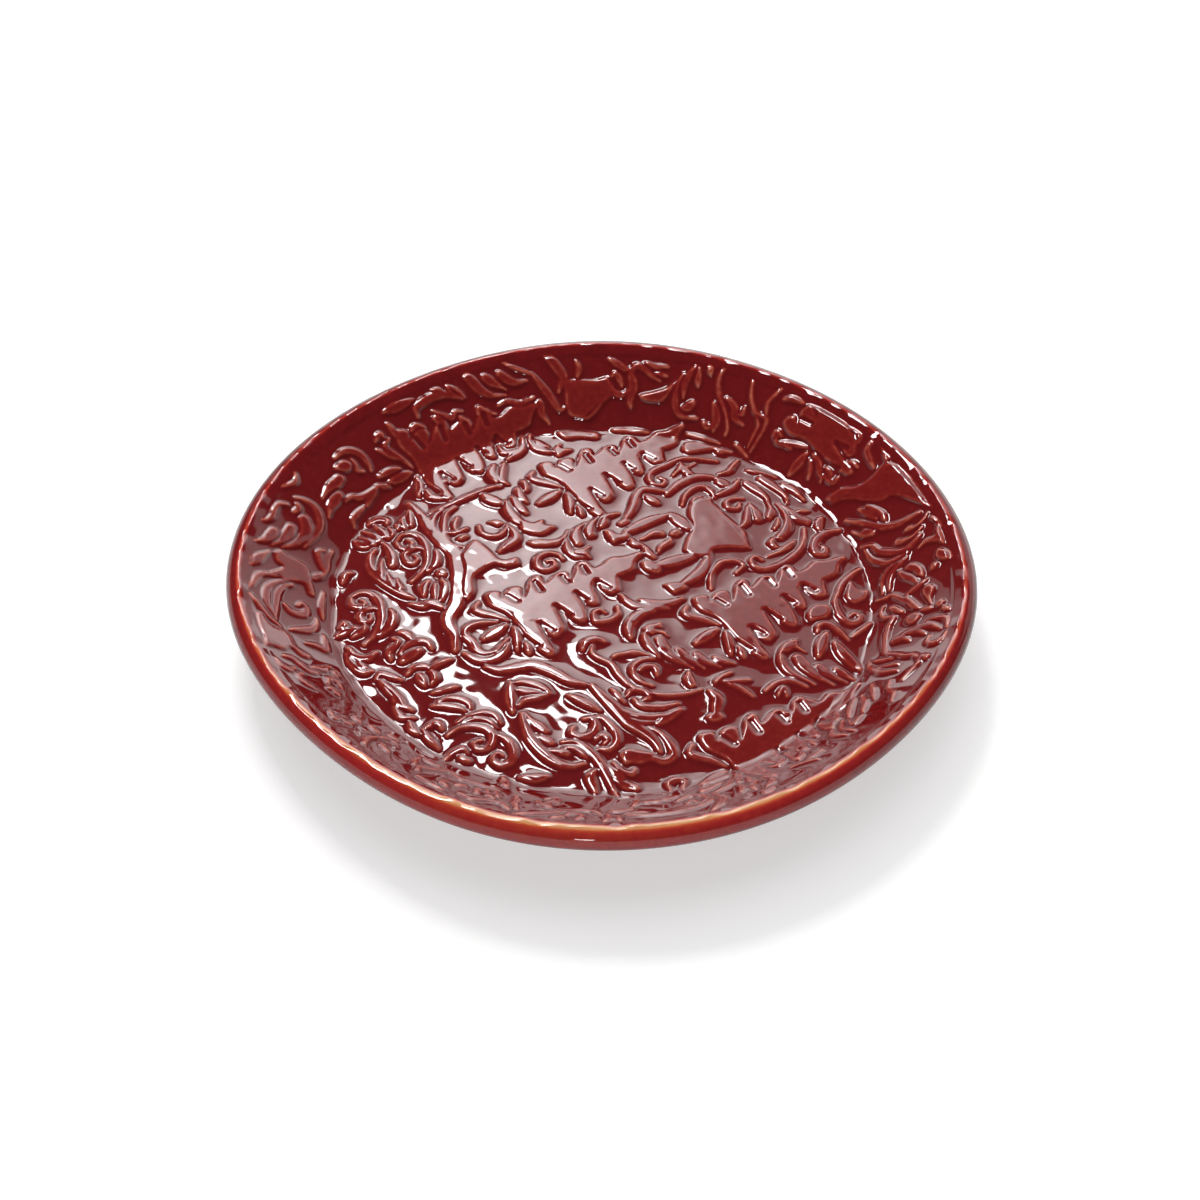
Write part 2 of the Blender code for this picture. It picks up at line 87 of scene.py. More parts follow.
def byHand(radius, angle, height):
    # bends a true turned shape into the hand-built one, and gives points in metres
    share = smoothStep(unevenness["from"], section["rimRadius"], radius)
    radius = radius + share * wavesAt(unevenness["reach"], angle)
    height = height + share * wavesAt(unevenness["rise"], angle)
    return np.stack([radius * np.cos(angle), radius * np.sin(angle), height], axis=1) * mm


def onSlab(x, y, lift):
    # x and y lie on the slab as it was rolled out flat, lift is above its glazed face
    run = np.hypot(x, y)
    turned = np.clip((run - foldStart) / section["foldRadius"], 0, slope)
    past = np.maximum(run - foldEnd, 0)
    bend = section["foldRadius"] - lift
    radius = np.minimum(run, foldStart) + bend * np.sin(turned) + past * math.cos(slope)
    height = faceZ + section["foldRadius"] - bend * np.cos(turned) + past * math.sin(slope)
    height = np.where(turned > 0, height, faceZ + lift)
    return byHand(radius, np.arctan2(y, x), height)


# ornament pressed into the flat slab, kept as heights in mm on a square grid
emboss = {
    "cell": 0.2,
    "reach": 112.0,
    "pathStep": 0.45,
    "height": 1.15,
    "bladeShare": 0.9,  # flat forms rise to this share of the height
    "strokeShare": (0.55, 0.4),  # strokes rise to the first share of it, and the second more per mm of flank
    "swell": 1.26,  # strokes come out this many times as wide as they are drawn
    "ridge": {"ends": 0.4, "fullness": 0.7},
    "lobe": {"head": 0.25, "start": 0.85, "tip": 0.2, "taper": 1.2},
    "foot": 0.7,  # a form's sides slope out this far beyond its outline
    "flat": 0.65,  # and rise to its flat top this far inside it
    "soften": 0.33,
    "groundCut": 0.4,  # a hollow that runs out onto the ground keeps this share of its depth
    "apron": 0.4,  # glaze gathers round the forms to this share of their height
    "apronWidth": 1.9,
    "apronBlend": 3,  # the higher this power, the sharper an apron meets its form
    "sink": 0.25,  # the lowest ground lies this far under the true face
    "fade": (2.2, 0.2),  # the ornament fades out between these distances from the coat's upper end
    "breakWidth": 0.4,  # over this width the glaze runs off an edge
    "thinOnTop": 0.02,  # and it lies thinner on the tops than on the ground, by this share of their height
    "seed": 5,
    "lumps": ((1.3, 0.010), (3.5, 0.022), (9.0, 0.03)),  # width and height of the clay's own lumps
    "foldLumps": {"width": 2.4, "height": 0.14, "band": 4.0},
    # shaping the wall took this share of its ornament's height, in front and at the left
    "smoothed": {"share": 0.3, "side": (-0.5, -0.87), "from": -0.3, "to": 0.6, "below": 2.0, "above": 4.0},
}
cellCount = int(2 * emboss["reach"] / emboss["cell"]) + 1
cellPlaces = np.linspace(-emboss["reach"], emboss["reach"], cellCount)
raised = np.zeros((cellCount, cellCount))
carved = np.zeros_like(raised)


def smoothPath(points, closed=False):
    # a Catmull-Rom curve through the points
    spots = np.array(points, float)
    if closed:
        spots = np.vstack([spots[-1], spots, spots[:2]])
    else:
        spots = np.vstack([2 * spots[0] - spots[1], spots, 2 * spots[-1] - spots[-2]])
    path = []
    for a, b, c, d in zip(spots, spots[1:], spots[2:], spots[3:]):
        count = max(3, int(np.linalg.norm(c - b) / emboss["pathStep"]))
        t = np.linspace(0, 1, count, endpoint=False)[:, None]
        path.append(0.5 * (2 * b + (c - a) * t + (2 * a - 5 * b + 4 * c - d) * t**2
                           + (3 * b - a - 3 * c + d) * t**3))
    return np.vstack([*path, spots[-2:-1]])


def cellsAround(path, margin):
    low = np.searchsorted(cellPlaces, path.min(axis=0) - margin)
    high = np.searchsorted(cellPlaces, path.max(axis=0) + margin)
    patch = (slice(low[1], high[1]), slice(low[0], high[0]))
    x, y = np.meshgrid(cellPlaces[patch[1]], cellPlaces[patch[0]])
    return patch, x, y


def raiseForm(patch, inside, full, height):
    # inside is the distance in from the edge, full is where the form reaches its height
    share = np.clip((inside + emboss["foot"]) / (full + emboss["foot"]), 0, 1)
    raised[patch] = np.maximum(raised[patch], height * share)


def hollow(width, depth, *points):
    # a groove with a round bottom, cut into whatever stands there
    path = smoothPath(points)
    patch, x, y = cellsAround(path, width)
    away = np.full(x.shape, 9.0)
    for px, py in path:
        away = np.minimum(away, np.hypot(x - px, y - py))
    carved[patch] = np.maximum(carved[patch], depth * np.maximum(1 - (away / width) ** 2, 0))


def strokeForm(path, half):
    patch, x, y = cellsAround(path, half.max() + emboss["foot"] + emboss["cell"])
    inside = np.full(x.shape, -9.0)
    full = np.full(x.shape, 1.0)
    for (px, py), reach in zip(path, half):
        depth = reach - np.hypot(x - px, y - py)
        full = np.where(depth > inside, min(reach, emboss["flat"]), full)
        inside = np.maximum(inside, depth)
    least, perFlank = emboss["strokeShare"]
    raiseForm(patch, inside, full, emboss["height"] * np.minimum(1, least + perFlank * full))


def ridge(width, *points):
    # a raised stroke, full in its middle and narrow at its ends
    path = smoothPath(points)
    along = np.linspace(0, 1, len(path))
    ends = emboss["ridge"]["ends"]
    full = np.sin(math.pi * along) ** emboss["ridge"]["fullness"]
    half = emboss["swell"] * width / 2 * (ends + (1 - ends) * full)
    strokeForm(path, half)


def lobe(width, *points):
    # a leaf's finger: round and full at its first end, thin at its last
    path = smoothPath(points)
    along = np.linspace(0, 1, len(path))
    head, start, tip, taper = (emboss["lobe"][key] for key in ("head", "start", "tip", "taper"))
    tail = 1 - (1 - tip) * (np.maximum(along - head, 0) / (1 - head)) ** taper
    half = emboss["swell"] * width / 2 * np.where(along < head, start + (1 - start) * along / head, tail)
    strokeForm(path, half)


def blade(*points, height=None, grow=0.0):
    # a raised flat form inside a closed outline
    path = smoothPath(points, closed=True)
    patch, x, y = cellsAround(path, emboss["foot"] + grow + emboss["cell"])
    away = np.full(x.shape, 99.0)
    within = np.zeros(x.shape, bool)
    for (ax, ay), (bx, by) in zip(path, np.roll(path, -1, axis=0)):
        away = np.minimum(away, np.hypot(x - ax, y - ay))
        if ay != by:
            crosses = ((ay > y) != (by > y)) & (x < ax + (bx - ax) * (y - ay) / (by - ay))
            within ^= crosses
    inside = np.where(within, away, -away) + grow
    raiseForm(patch, inside, emboss["flat"], height or emboss["bladeShare"] * emboss["height"])


def moved(shift, points):
    return [(x + shift[0], y + shift[1]) for x, y in points]


# the oak leaf that repeats over the plate: its outline, the hollows in its lobes, and its stem's strokes
oak = {
    "places": ((0, 0), (62.2, -0.6), (14.2, 62.8), (62.5, -57.5), (-34, 70), (94.5, 78)),
    "grow": 0.7,
    "hollowWidth": 1.25,
    "hollowDepth": 0.5,
    "outline": (
        (-33, -6), (-34.5, -1.5), (-31.5, -0.5), (-30, -3.5), (-28, 1), (-25, 1.5), (-23.5, -3),
        (-21.5, 5), (-19.5, 7), (-17.5, 3.5), (-14, 8), (-11.5, 8.8), (-9.5, 5.5), (-7.5, 12.5),
        (-5.5, 13.8), (-3, 11), (0, 12.6), (2.5, 15.6), (6.5, 16.4), (11.5, 18.4), (9.6, 14.6),
        (8.8, 11), (6.4, 9), (4.4, 7.6), (4.4, 4.6), (4.6, 1.4), (2.4, 0.6), (0, 2.8), (-2, 5.4),
        (-3.4, 3), (-2.2, -1.6), (-2, -4.6), (-4, -4.2), (-6.4, -1.4), (-8, -1.2), (-5.8, -7),
        (-5, -11.6), (-6.6, -12.4), (-9.6, -10), (-11.8, -6.6), (-14.2, -7.4), (-12.8, -12),
        (-11.6, -15.8), (-13, -18.6), (-15, -18), (-17.4, -14.6), (-18.8, -14.8), (-16.4, -21.4),
        (-14.2, -25.6), (-15.4, -26.8), (-18.6, -24), (-21.6, -19.6), (-24.4, -15), (-28, -9.6),
    ),
    "hollows": (
        ((-1.6, 5), (1.6, 2.4)), ((-7.6, -0.4), (-5, -3)), ((-13.6, -6.4), (-9.6, -10)),
        ((-18, -14), (-14.8, -17)), ((-22.6, -20), (-18.6, -23.6)), ((-28.6, -1.8), (-25.6, -4.4)),
        ((-20.6, 4.4), (-18.6, 0.4)), ((-12.4, 7.4), (-10.6, 4.6)), ((-6.6, 12), (-5, 8.8)),
    ),
    "strokes": (
        (3, ((-34.8, -20.8), (-31.6, -17.8), (-28.2, -14.6))),
        (2.2, ((-37, -4.6), (-37.8, -7.6), (-36, -9.2), (-31.6, -10.8), (-27.8, -12.8))),
        (2.6, ((-26, -15.4), (-24.8, -20), (-24.6, -25))),
        (2.2, ((-22.4, -21.4), (-21, -26.4))),
    ),
}


def oakLeaf(shift):
    blade(*moved(shift, oak["outline"]), grow=oak["grow"])
    for line in oak["hollows"]:
        hollow(oak["hollowWidth"], oak["hollowDepth"], *moved(shift, line))
    for width, line in oak["strokes"]:
        ridge(width, *moved(shift, line))


def leapingStag():
    ridge(3.4, (20.5, 37.2), (15, 34.3), (10, 30.8), (6.5, 27.8))
    blade((0.3, 29.2), (2.2, 29.4), (4.5, 27.6), (8, 28), (8, 25.4), (5, 24.2), (3, 23.4), (1.5, 25.5))
    ridge(3.6, (20.8, 37.6), (24, 34), (27.3, 30))
    ridge(2.6, (20, 48.6), (16, 49.6), (12.6, 49.6), (10.6, 46.6), (9, 40), (7, 35), (5.5, 32.5))
    ridge(3.8, (28.5, 17.8), (21, 14.6), (16, 12.8))
    blade((11.6, 14.6), (13.5, 15), (16, 14), (18, 12), (17, 9.4), (14, 10), (12, 12))
    ridge(3.4, (32.6, 18), (30.6, 11.5), (27, 7), (24, 4.4))
    blade((18.6, 4.2), (20.5, 5), (24, 5.2), (25.5, 3), (23, 1), (21, 0.6))
    blade((27.3, 30), (26, 26.5), (25, 22), (25.2, 19.6), (29, 17), (33, 17.6), (34, 20.4), (38, 21.4),
          (44.6, 21.6), (43.6, 27), (40, 33.4), (37, 38), (34.6, 43), (33.6, 46), (29, 44.4),
          (27.4, 40), (27.4, 35), height=1.0)
    ridge(1.7, (34.6, 43), (37, 38), (40, 33.6), (43, 29.4), (43.8, 26), (44.8, 21.8))
    ridge(1.6, (28.6, 31.6), (27.5, 36), (27.7, 41), (29, 44.6))
    ridge(1.7, (30.4, 37.8), (31, 35.6), (32.6, 36))
    ridge(1.7, (33, 33.2), (31.4, 32), (31, 29.4), (33, 26.2))
    ridge(2.6, (20, 47.6), (24, 52.6), (28.6, 56), (33, 56.6), (36.4, 55.6))
    ridge(3.0, (36.2, 55), (38, 53.4), (39.8, 51.6))
    ridge(2.2, (43.4, 55.4), (40.6, 50.6), (36, 47.6))
    ridge(1.9, (24.8, 42.4), (26, 47), (28.6, 50.4), (31.6, 51.4), (34, 49.4), (35.2, 46.4))
    ridge(1.7, (27.6, 42.6), (28.8, 45), (31, 46.4))
    ridge(2.6, (13, 46.6), (15, 44.8), (17.2, 43))


def sprigInLegs():
    blade((10.8, 25.4), (13, 26.8), (15, 29.2), (17.5, 29.8), (19.2, 28.4), (18.5, 26.9), (15, 26.5),
          (12.5, 25.2))
    blade((20.4, 27.4), (21.2, 29.6), (23, 30.4), (24.2, 29), (23.4, 27.2), (21.8, 26.8))
    blade((16.6, 18.6), (16.8, 22), (18.5, 24.2), (20.5, 25.9), (21.6, 25), (21.2, 23), (19, 21))
    ridge(2.4, (8.6, 25.4), (9.6, 23.2), (12.8, 21.8))
    ridge(2.4, (13, 21.6), (13.4, 19.6), (15.6, 16.6))
    ridge(2.0, (-1, 33), (1, 36), (4.6, 37.6))
    ridge(2.4, (5.2, 32.4), (7.6, 34))


def acanthusMiddle():
    lobe(3.2, (-7.8, 23.2), (-8.6, 26), (-8, 29.6), (-5.4, 33))
    lobe(3.0, (-4, 27.4), (-4.4, 29), (-3.6, 32.2), (-1.2, 36.2))
    lobe(2.6, (-0.6, 31.6), (0.2, 33.6), (1.4, 36.6))
    ridge(2.3, (-11.6, 25.2), (-11, 20.5), (-8.5, 17), (-5.5, 16))
    blade((-9, 20), (-6.4, 20.4), (-4.2, 22), (-4.8, 19.4), (-3.8, 16.2), (-6.4, 16.8), (-9.2, 17.4))
    blade((-23.2, 23.4), (-20.5, 24.4), (-16, 24.4), (-12.6, 26.2), (-10.9, 29.6), (-11.6, 25),
          (-13, 22.4), (-15.5, 21.4), (-18.5, 21), (-22, 21.4))
    ridge(2.0, (-12.4, 15.6), (-13.8, 17.4), (-17, 18), (-19.8, 15.8), (-20, 12.2), (-17.4, 10.2),
          (-14.8, 12), (-15.4, 14.6), (-17.2, 14.4))
    ridge(2.6, (-27.6, 49.6), (-26.6, 45.6), (-24.6, 42.6))
    ridge(2.2, (-26, 53.4), (-25, 50.4), (-24.8, 48))
    ridge(2.8, (-29.2, 45), (-27, 40.6), (-24.4, 37.2))
    ridge(3.0, (-31, 43), (-29.8, 38), (-27, 33.5), (-23, 30.6))
    blade((-26, 33.5), (-22, 32.4), (-19, 34), (-18.3, 31.8), (-15, 31), (-16.6, 28.4), (-19, 26.6),
          (-22.5, 27), (-25.8, 29))
    ridge(1.8, (-38.8, 30.8), (-38, 27.6), (-35, 25.8), (-32, 26.4), (-30.4, 29), (-30.2, 31.8))
    blade((-35.8, 32.6), (-33.4, 33.6), (-30.8, 31.8), (-32.6, 30.4), (-34.2, 31))
    ridge(2.8, (-29.4, 30.4), (-27.4, 27), (-27.2, 24.4), (-29, 22), (-31.8, 18.6))
    blade((-40, 23.6), (-36.6, 21.2), (-34, 18), (-32.2, 15.4), (-29.6, 14.6), (-26.4, 15.8),
          (-25.8, 12.8), (-29, 11.6), (-33, 12.2), (-36, 10), (-38.8, 6), (-38.4, 0), (-40.4, -4),
          (-42.4, 0), (-42.4, 10), (-43.6, 17), height=1.0)


def crescentsMiddle():
    ridge(2.0, (4.4, -5.6), (4.6, -9.4), (2, -12), (-1.8, -12.4), (-2.6, -9.2), (-1, -7.4), (0.8, -8.4))
    ridge(2.6, (5.4, -0.4), (7.6, -3.6), (11.5, -6), (19.8, -6.2))
    ridge(2.8, (11, -2.8), (14, -4), (18, -4.4), (21.5, -3.4), (24, -1.8))
    ridge(3.2, (15.8, -7.4), (11.5, -9), (9, -12), (8, -15.5), (8.4, -19.2))
    blade((11.8, -15.8), (13.4, -13.6), (15.6, -13), (17.5, -12.4), (17.8, -14.8), (16.2, -15.8),
          (18.2, -16.2), (19.4, -18.6), (16.4, -17.6), (14.4, -18.2))
    ridge(2.4, (13, -16), (12.6, -19), (14, -23), (16.6, -27.4))
    lobe(3.4, (16.8, -20), (18, -23.6), (20.8, -27.6), (26.4, -31.6))
    lobe(3.2, (22.2, -24.6), (24.2, -27.4), (29.6, -31.6))
    lobe(3.0, (27.4, -26.4), (29.6, -28.8), (34.4, -31))
    lobe(2.6, (33, -27.6), (34.8, -28.8), (38.2, -29.4))
    blade((2.8, -28.2), (3.6, -26.2), (6.5, -25.2), (9.5, -24.4), (12, -25.2), (15.2, -27.6),
          (11.5, -27.2), (8, -27), (5, -27.6))
    ridge(2.0, (15.4, -27.8), (11.5, -29), (9.2, -31.6), (9.4, -35), (11.6, -38), (14.4, -39))
    ridge(2.0, (10.6, -33.4), (12.6, -31.4), (15.2, -31.6), (16, -34.6))
    ridge(2.6, (-5.6, -24.6), (-4.6, -21.6), (-2, -20.2), (0.8, -21))
    ridge(1.8, (-2.6, -22.4), (-3, -25.6), (-1, -28), (2.8, -30.6), (5, -35), (8.5, -39.6), (13, -42))


def leavesTop():
    ridge(3.0, (-35.6, 61.2), (-36.2, 57), (-34, 52.2))
    ridge(2.4, (-32.4, 62.4), (-33, 57), (-32.6, 53), (-30.8, 51.6))
    ridge(2.4, (-34.6, 71.2), (-33.2, 68), (-30.6, 67.6), (-29, 69.2))
    ridge(2.8, (-27, 75.4), (-26.8, 71), (-28.2, 67.6), (-31.2, 64.2))
    ridge(2.4, (-24.6, 76.8), (-24.4, 73), (-22, 70), (-18, 68.4), (-15, 69))
    ridge(2.6, (-23, 74), (-20.5, 71.6), (-18.4, 70.6))
    blade((-17, 69.4), (-14.4, 73), (-14, 70.6), (-10.6, 70), (-13, 67.2), (-15.2, 65.8))
    blade((-15.6, 78.6), (-12, 79.6), (-8, 79.8), (-3, 79.6), (-1.8, 77.4), (-3, 75.8), (-8, 76),
          (-13, 75.4))
    ridge(1.9, (-6.8, 69.8), (-6.2, 66.4), (-4.6, 63), (-1.8, 62.4))
    ridge(3.2, (-38.6, 46), (-36, 43.8), (-32.2, 41.6))
    ridge(2.0, (36.4, 64.8), (30, 65.8), (25, 65.6), (20, 62.4), (15.6, 59), (14.4, 55.5), (15.6, 52.6),
          (18.4, 52), (19.4, 54.4), (17.6, 56))
    blade((21.8, 56.8), (23.2, 60.4), (24.6, 64), (26.4, 62), (29.6, 63.8), (27.4, 60.8), (29.2, 57.4),
          (26.4, 56.4), (24.6, 58.4))
    blade((25.2, 71), (26.6, 74.2), (30, 74.6), (35, 72.6), (41.8, 69.2), (37, 68.2), (35.2, 70),
          (30, 68.8), (27, 68.4))
    ridge(1.8, (27.2, 78), (32, 75.6), (37.6, 73.2))
    ridge(1.8, (43.2, 65.2), (41.4, 62), (40, 59.4), (36.6, 58))
    ridge(2.0, (2.8, 80.6), (8, 80.2), (14.4, 79.2))
    ridge(2.2, (-54.6, 36.4), (-50, 39.6), (-45.4, 43.2), (-37, 49), (-33, 50.4))
    ridge(2.6, (-52.4, 50.2), (-48.6, 55.4), (-46.8, 58.6))
    ridge(2.8, (-46.4, 63), (-43.8, 61), (-42, 57.6))
    ridge(2.4, (-57.4, 47.8), (-54.6, 44.6), (-50.6, 43.4))


def scrollsRight():
    lobe(2.8, (48.4, 35.8), (47.8, 39), (46, 43.4))
    ridge(2.2, (45.4, 42), (45.2, 37), (44.4, 33.6), (42.4, 31.2))
    lobe(2.6, (52, 37), (52.8, 39.4), (52.2, 43.4))
    lobe(2.8, (54.8, 27.2), (56.6, 30), (57.6, 34), (57, 38.4), (54.6, 43.6))
    ridge(1.7, (54.8, 36), (54.4, 33), (53.2, 31.2))
    ridge(2.0, (53, 26.8), (52, 24.4), (53, 22.4), (54.6, 21.8))
    blade((59.6, 25.8), (58.4, 22), (55.6, 20), (53, 18.8), (50.4, 18.2), (54, 20.8), (56, 23.6))
    lobe(3.0, (63.8, 34.8), (61, 36.4), (58.6, 39.6), (55.6, 43.4))
    blade((60, 39.4), (62.4, 40.8), (64.8, 40), (62.6, 38.6))
    ridge(2.2, (62.6, 31.6), (62.2, 26), (60.4, 21), (57, 16.6), (53, 13.4), (49, 12), (46.2, 13.2),
          (45.2, 15.6), (46.6, 17.6), (48.6, 16.4))
    ridge(2.6, (68.4, 36.8), (67.2, 33.6), (67.6, 30.4))
    ridge(2.6, (73.6, 31), (69.6, 29.6), (66.6, 26.8), (65.2, 23), (65.6, 20), (67.8, 19.4), (68.4, 22),
          (66.8, 23))
    ridge(2.2, (56, 12.2), (56.6, 9.6), (58.2, 8.2))
    ridge(2.2, (78.2, 12.6), (75, 9), (72, 4.4), (70.2, -1))
    blade((74.8, 7), (73.2, 2.4), (73, -1), (75.5, -3.4), (79, -1), (80, 2.6), (77, 3.2), height=1.0)
    ridge(1.9, (32.6, 2.8), (33, 9.5), (36, 14.6), (40, 15.6), (42.8, 13.6), (40.6, 10.2))
    ridge(1.8, (44, 46), (40.6, 45.6), (38.8, 43.6), (39.4, 41.2), (42.4, 41), (43, 43.4))
    lobe(2.8, (45.4, 53.6), (48, 51), (51.4, 46.4), (52, 43))
    lobe(2.8, (50.4, 56), (53.6, 52.8), (57.4, 47.6), (58, 44))
    lobe(2.6, (57.4, 53), (60.4, 50), (63.4, 45.4))
    ridge(2.0, (46, 60.4), (50.6, 58.6), (55, 56.8))


def scrollsLowerRight():
    blade((61.4, -10.8), (60.8, -8), (62, -5.4), (64.6, -3.8), (67.4, -4.2), (68.4, -6.6), (66.8, -9.6),
          (64, -10.8))
    ridge(2.2, (70.2, 1), (69.6, -4), (70.6, -8.6), (73, -11.4), (75.6, -11.2), (76.4, -8.8),
          (74.8, -7.6), (73.4, -9))
    ridge(2.1, (63.4, -15.8), (64, -13.2), (66.2, -12.2), (69, -14.4), (72.2, -18.8))
    ridge(3.0, (66, -16.2), (64.4, -20.6), (63, -26.2))
    ridge(3.2, (68, -20.2), (70.6, -25.6), (74.6, -31.6))
    blade((51.4, -25.2), (52.6, -21.6), (55, -19.6), (57.3, -19), (57.4, -21.6), (59.4, -24.4),
          (56.4, -23.4), (54.2, -24.6))
    ridge(2.3, (52, -24.4), (52, -28), (53.4, -32), (56, -34.8), (60.8, -37.6))
    lobe(3.4, (57, -27), (58.8, -30.8), (61.8, -34.6), (66.4, -37.8))
    lobe(3.2, (62.6, -30.8), (65.2, -34), (70.2, -36.6))
    lobe(2.8, (67.8, -32), (69.8, -33.8), (72.6, -35.6))
    ridge(2.1, (46.8, -40.6), (50, -37.8), (54, -36.6), (58.8, -38.8))
    ridge(1.9, (50.4, -42.2), (52, -39.4), (52.8, -42.6))
    ridge(1.7, (73.6, -17.4), (76.4, -15), (79.2, -12))


def lowerStag():
    ridge(3.2, (-33.4, -32.2), (-29, -33.6), (-24, -32.2), (-19.5, -31.4), (-14, -34), (-9, -37.6),
          (-4.6, -39))
    ridge(3.4, (-3, -39), (2, -45.6), (5.6, -50.6), (8, -54), (12, -57.4), (15, -61), (16.4, -65))
    ridge(2.4, (13.4, -55.6), (17, -58.6), (19.6, -63), (20, -66.6), (17.6, -68.6), (14, -67.6),
          (11, -68.8), (7, -69.4))
    blade((5.4, -66.6), (7, -64.2), (10.6, -64.6), (15.2, -66), (12.6, -67.8), (9, -69.6), (6.4, -69.8))
    ridge(2.0, (7.2, -43.4), (9, -41), (12.4, -41.6), (13.6, -43.8), (11.8, -45.2))
    ridge(2.4, (9.2, -44.6), (11, -47), (14, -48), (18, -47.8), (21.8, -46.2))
    ridge(2.6, (5.8, -48.8), (9.6, -51.4), (14, -52), (18.6, -50.8))
    ridge(2.2, (7, -52), (11, -54), (15.6, -53.8))
    ridge(2.8, (15.6, -54.8), (18.6, -52), (22.6, -48.4))
    ridge(2.0, (3, -40.6), (4.6, -43.4), (6.4, -46))
    ridge(2.8, (30.6, -40.6), (33, -44), (32.6, -48), (32, -52))
    ridge(3.2, (30.8, -51.8), (33.6, -51))
    blade((23.6, -36.6), (24.2, -34), (25.2, -32.8), (26.6, -36), (27.2, -39.2), (25.2, -40))
    ridge(1.9, (32.6, -37.4), (34.6, -35.4), (37.2, -33.2))
    ridge(1.9, (34, -37), (38, -37.2), (42.4, -36.2))
    ridge(1.9, (35.5, -37.6), (39, -39.4), (43, -42.8))
    ridge(1.8, (13, -42), (18, -43), (24, -42.4), (28.6, -40.4))


def leftStag():
    ridge(4.4, (-61.5, 41), (-58, 36), (-55, 31), (-52, 25.5), (-49, 21.5), (-45.6, 17.5), (-44, 11),
          (-43.4, 3), (-43.6, -5), (-45.4, -11), (-45.4, -14.6), (-43.4, -19), (-42.6, -25.4))
    ridge(2.4, (-50, 38.4), (-52.6, 35.6), (-53.4, 32), (-52.2, 28))
    ridge(2.4, (-46.8, 39.8), (-49.4, 36), (-49.8, 31), (-49.4, 26), (-48, 22.6), (-45.6, 20.6),
          (-42.2, 20.2))
    ridge(2.4, (-45.6, 34.6), (-46.6, 31), (-45.8, 28))
    ridge(2.0, (-49, 26.8), (-45, 27.4), (-42.4, 29.6))
    ridge(2.2, (-44.6, 24.2), (-42.4, 25.8))
    ridge(2.6, (-61.2, 37.6), (-60.6, 33.6), (-59.8, 30))
    ridge(2.0, (-62.2, 35.2), (-63, 32), (-61.4, 28.2))
    ridge(2.2, (-64.2, 30.8), (-63.8, 28.2))
    ridge(2.4, (-31, -13.2), (-36, -13.8), (-39.4, -15.6), (-40.2, -19), (-37.8, -22), (-36.4, -25),
          (-34, -26.8), (-31, -26), (-29, -23), (-27.4, -20.2))
    ridge(2.6, (-40, -26.6), (-36, -29.4), (-32, -29.4), (-28.4, -26), (-27.2, -22.4))


def leftVolutes():
    ridge(2.3, (-64, 22), (-62.8, 25), (-60, 26.2), (-57, 24.8), (-55, 21.4), (-53.8, 16.6),
          (-53.8, 11.6), (-55.4, 7.4), (-57.8, 4.2))
    ridge(2.0, (-64, 22.4), (-62.6, 19.6), (-60, 19.2), (-59, 21.8), (-60.6, 23.6))
    ridge(2.1, (-54.2, 17.8), (-56.4, 19.6), (-59, 18.8), (-60.8, 16.4), (-60, 13.6), (-58, 12.4),
          (-56.6, 14.4), (-57.8, 16.2))
    ridge(2.6, (-51.6, 18.8), (-50.8, 15.6), (-51.2, 12), (-53.2, 8.8))
    ridge(2.5, (-75.2, -3.4), (-72.6, -1.4), (-69.6, -1.6), (-67, -4.4), (-65.6, -9), (-65.2, -14),
          (-66.4, -19.6), (-69.2, -23.8))
    ridge(2.2, (-75.2, -3.6), (-74.6, -6.6), (-72.4, -7.8), (-70.8, -6.4), (-71.8, -4.4))
    ridge(2.2, (-66.2, -8.8), (-68.4, -8.2), (-71, -9.4), (-71.8, -12), (-70.2, -14.2), (-68.4, -13.2),
          (-68.6, -11))
    ridge(2.8, (-63, -8.6), (-62, -12), (-63, -16.4), (-65.4, -20.2))
    ridge(2.6, (-73.2, 30.8), (-70.6, 33), (-68, 32.6), (-67.4, 30.6))
    lobe(3.0, (-67.6, 25), (-69.6, 27.8), (-71.6, 30.6))
    lobe(2.8, (-69.2, 22.8), (-71.2, 25), (-74.6, 27.6))
    lobe(2.6, (-70.8, 21), (-72.8, 22.6), (-75.4, 24.6))
    ridge(3.0, (-76.4, 22.4), (-74, 20.4), (-71.2, 20.2))
    ridge(1.9, (-66.8, 29.2), (-65.4, 26), (-66.6, 23.8))
    lobe(3.0, (-64.2, 11.8), (-64.8, 16), (-66.6, 20), (-69.2, 23))
    ridge(2.8, (-70, 18.8), (-71.2, 15), (-70.6, 10), (-67.6, 5.6), (-63.4, 1.4), (-60, -1.4),
          (-56.8, -3.2))
    lobe(2.6, (-67, 5.6), (-67.6, 10), (-67.4, 14.2))
    lobe(2.4, (-63.2, 2), (-64.4, 4.6), (-65.6, 8.2))
    lobe(2.2, (-60.6, 0.8), (-61.6, 2.6), (-62.2, 5.4))
    ridge(3.0, (-49.8, 8.8), (-48, 7.6))
    ridge(2.8, (-52.4, 4.6), (-53.8, 1.6), (-53.4, -2.4))
    ridge(2.8, (-48.6, 5), (-47.4, 2), (-47.8, -2.6), (-48.6, -4.8))
    ridge(2.2, (-50.6, 3.6), (-50.4, -0.6), (-49.8, -4.4))
    ridge(2.6, (-57.2, -5.8), (-53.6, -6.6), (-51, -5.4), (-46.8, -7.8))
    ridge(2.3, (-78.4, 3), (-77.8, 6.6), (-76, 7.8))
    blade((-77.8, -17), (-76.4, -13.8), (-74.4, -15.6), (-76, -18.2))
    ridge(2.8, (-77.6, -20.6), (-74.6, -18), (-71.8, -16.6))
    ridge(2.4, (-73, -20.6), (-70.4, -17.6), (-69.6, -15.4))


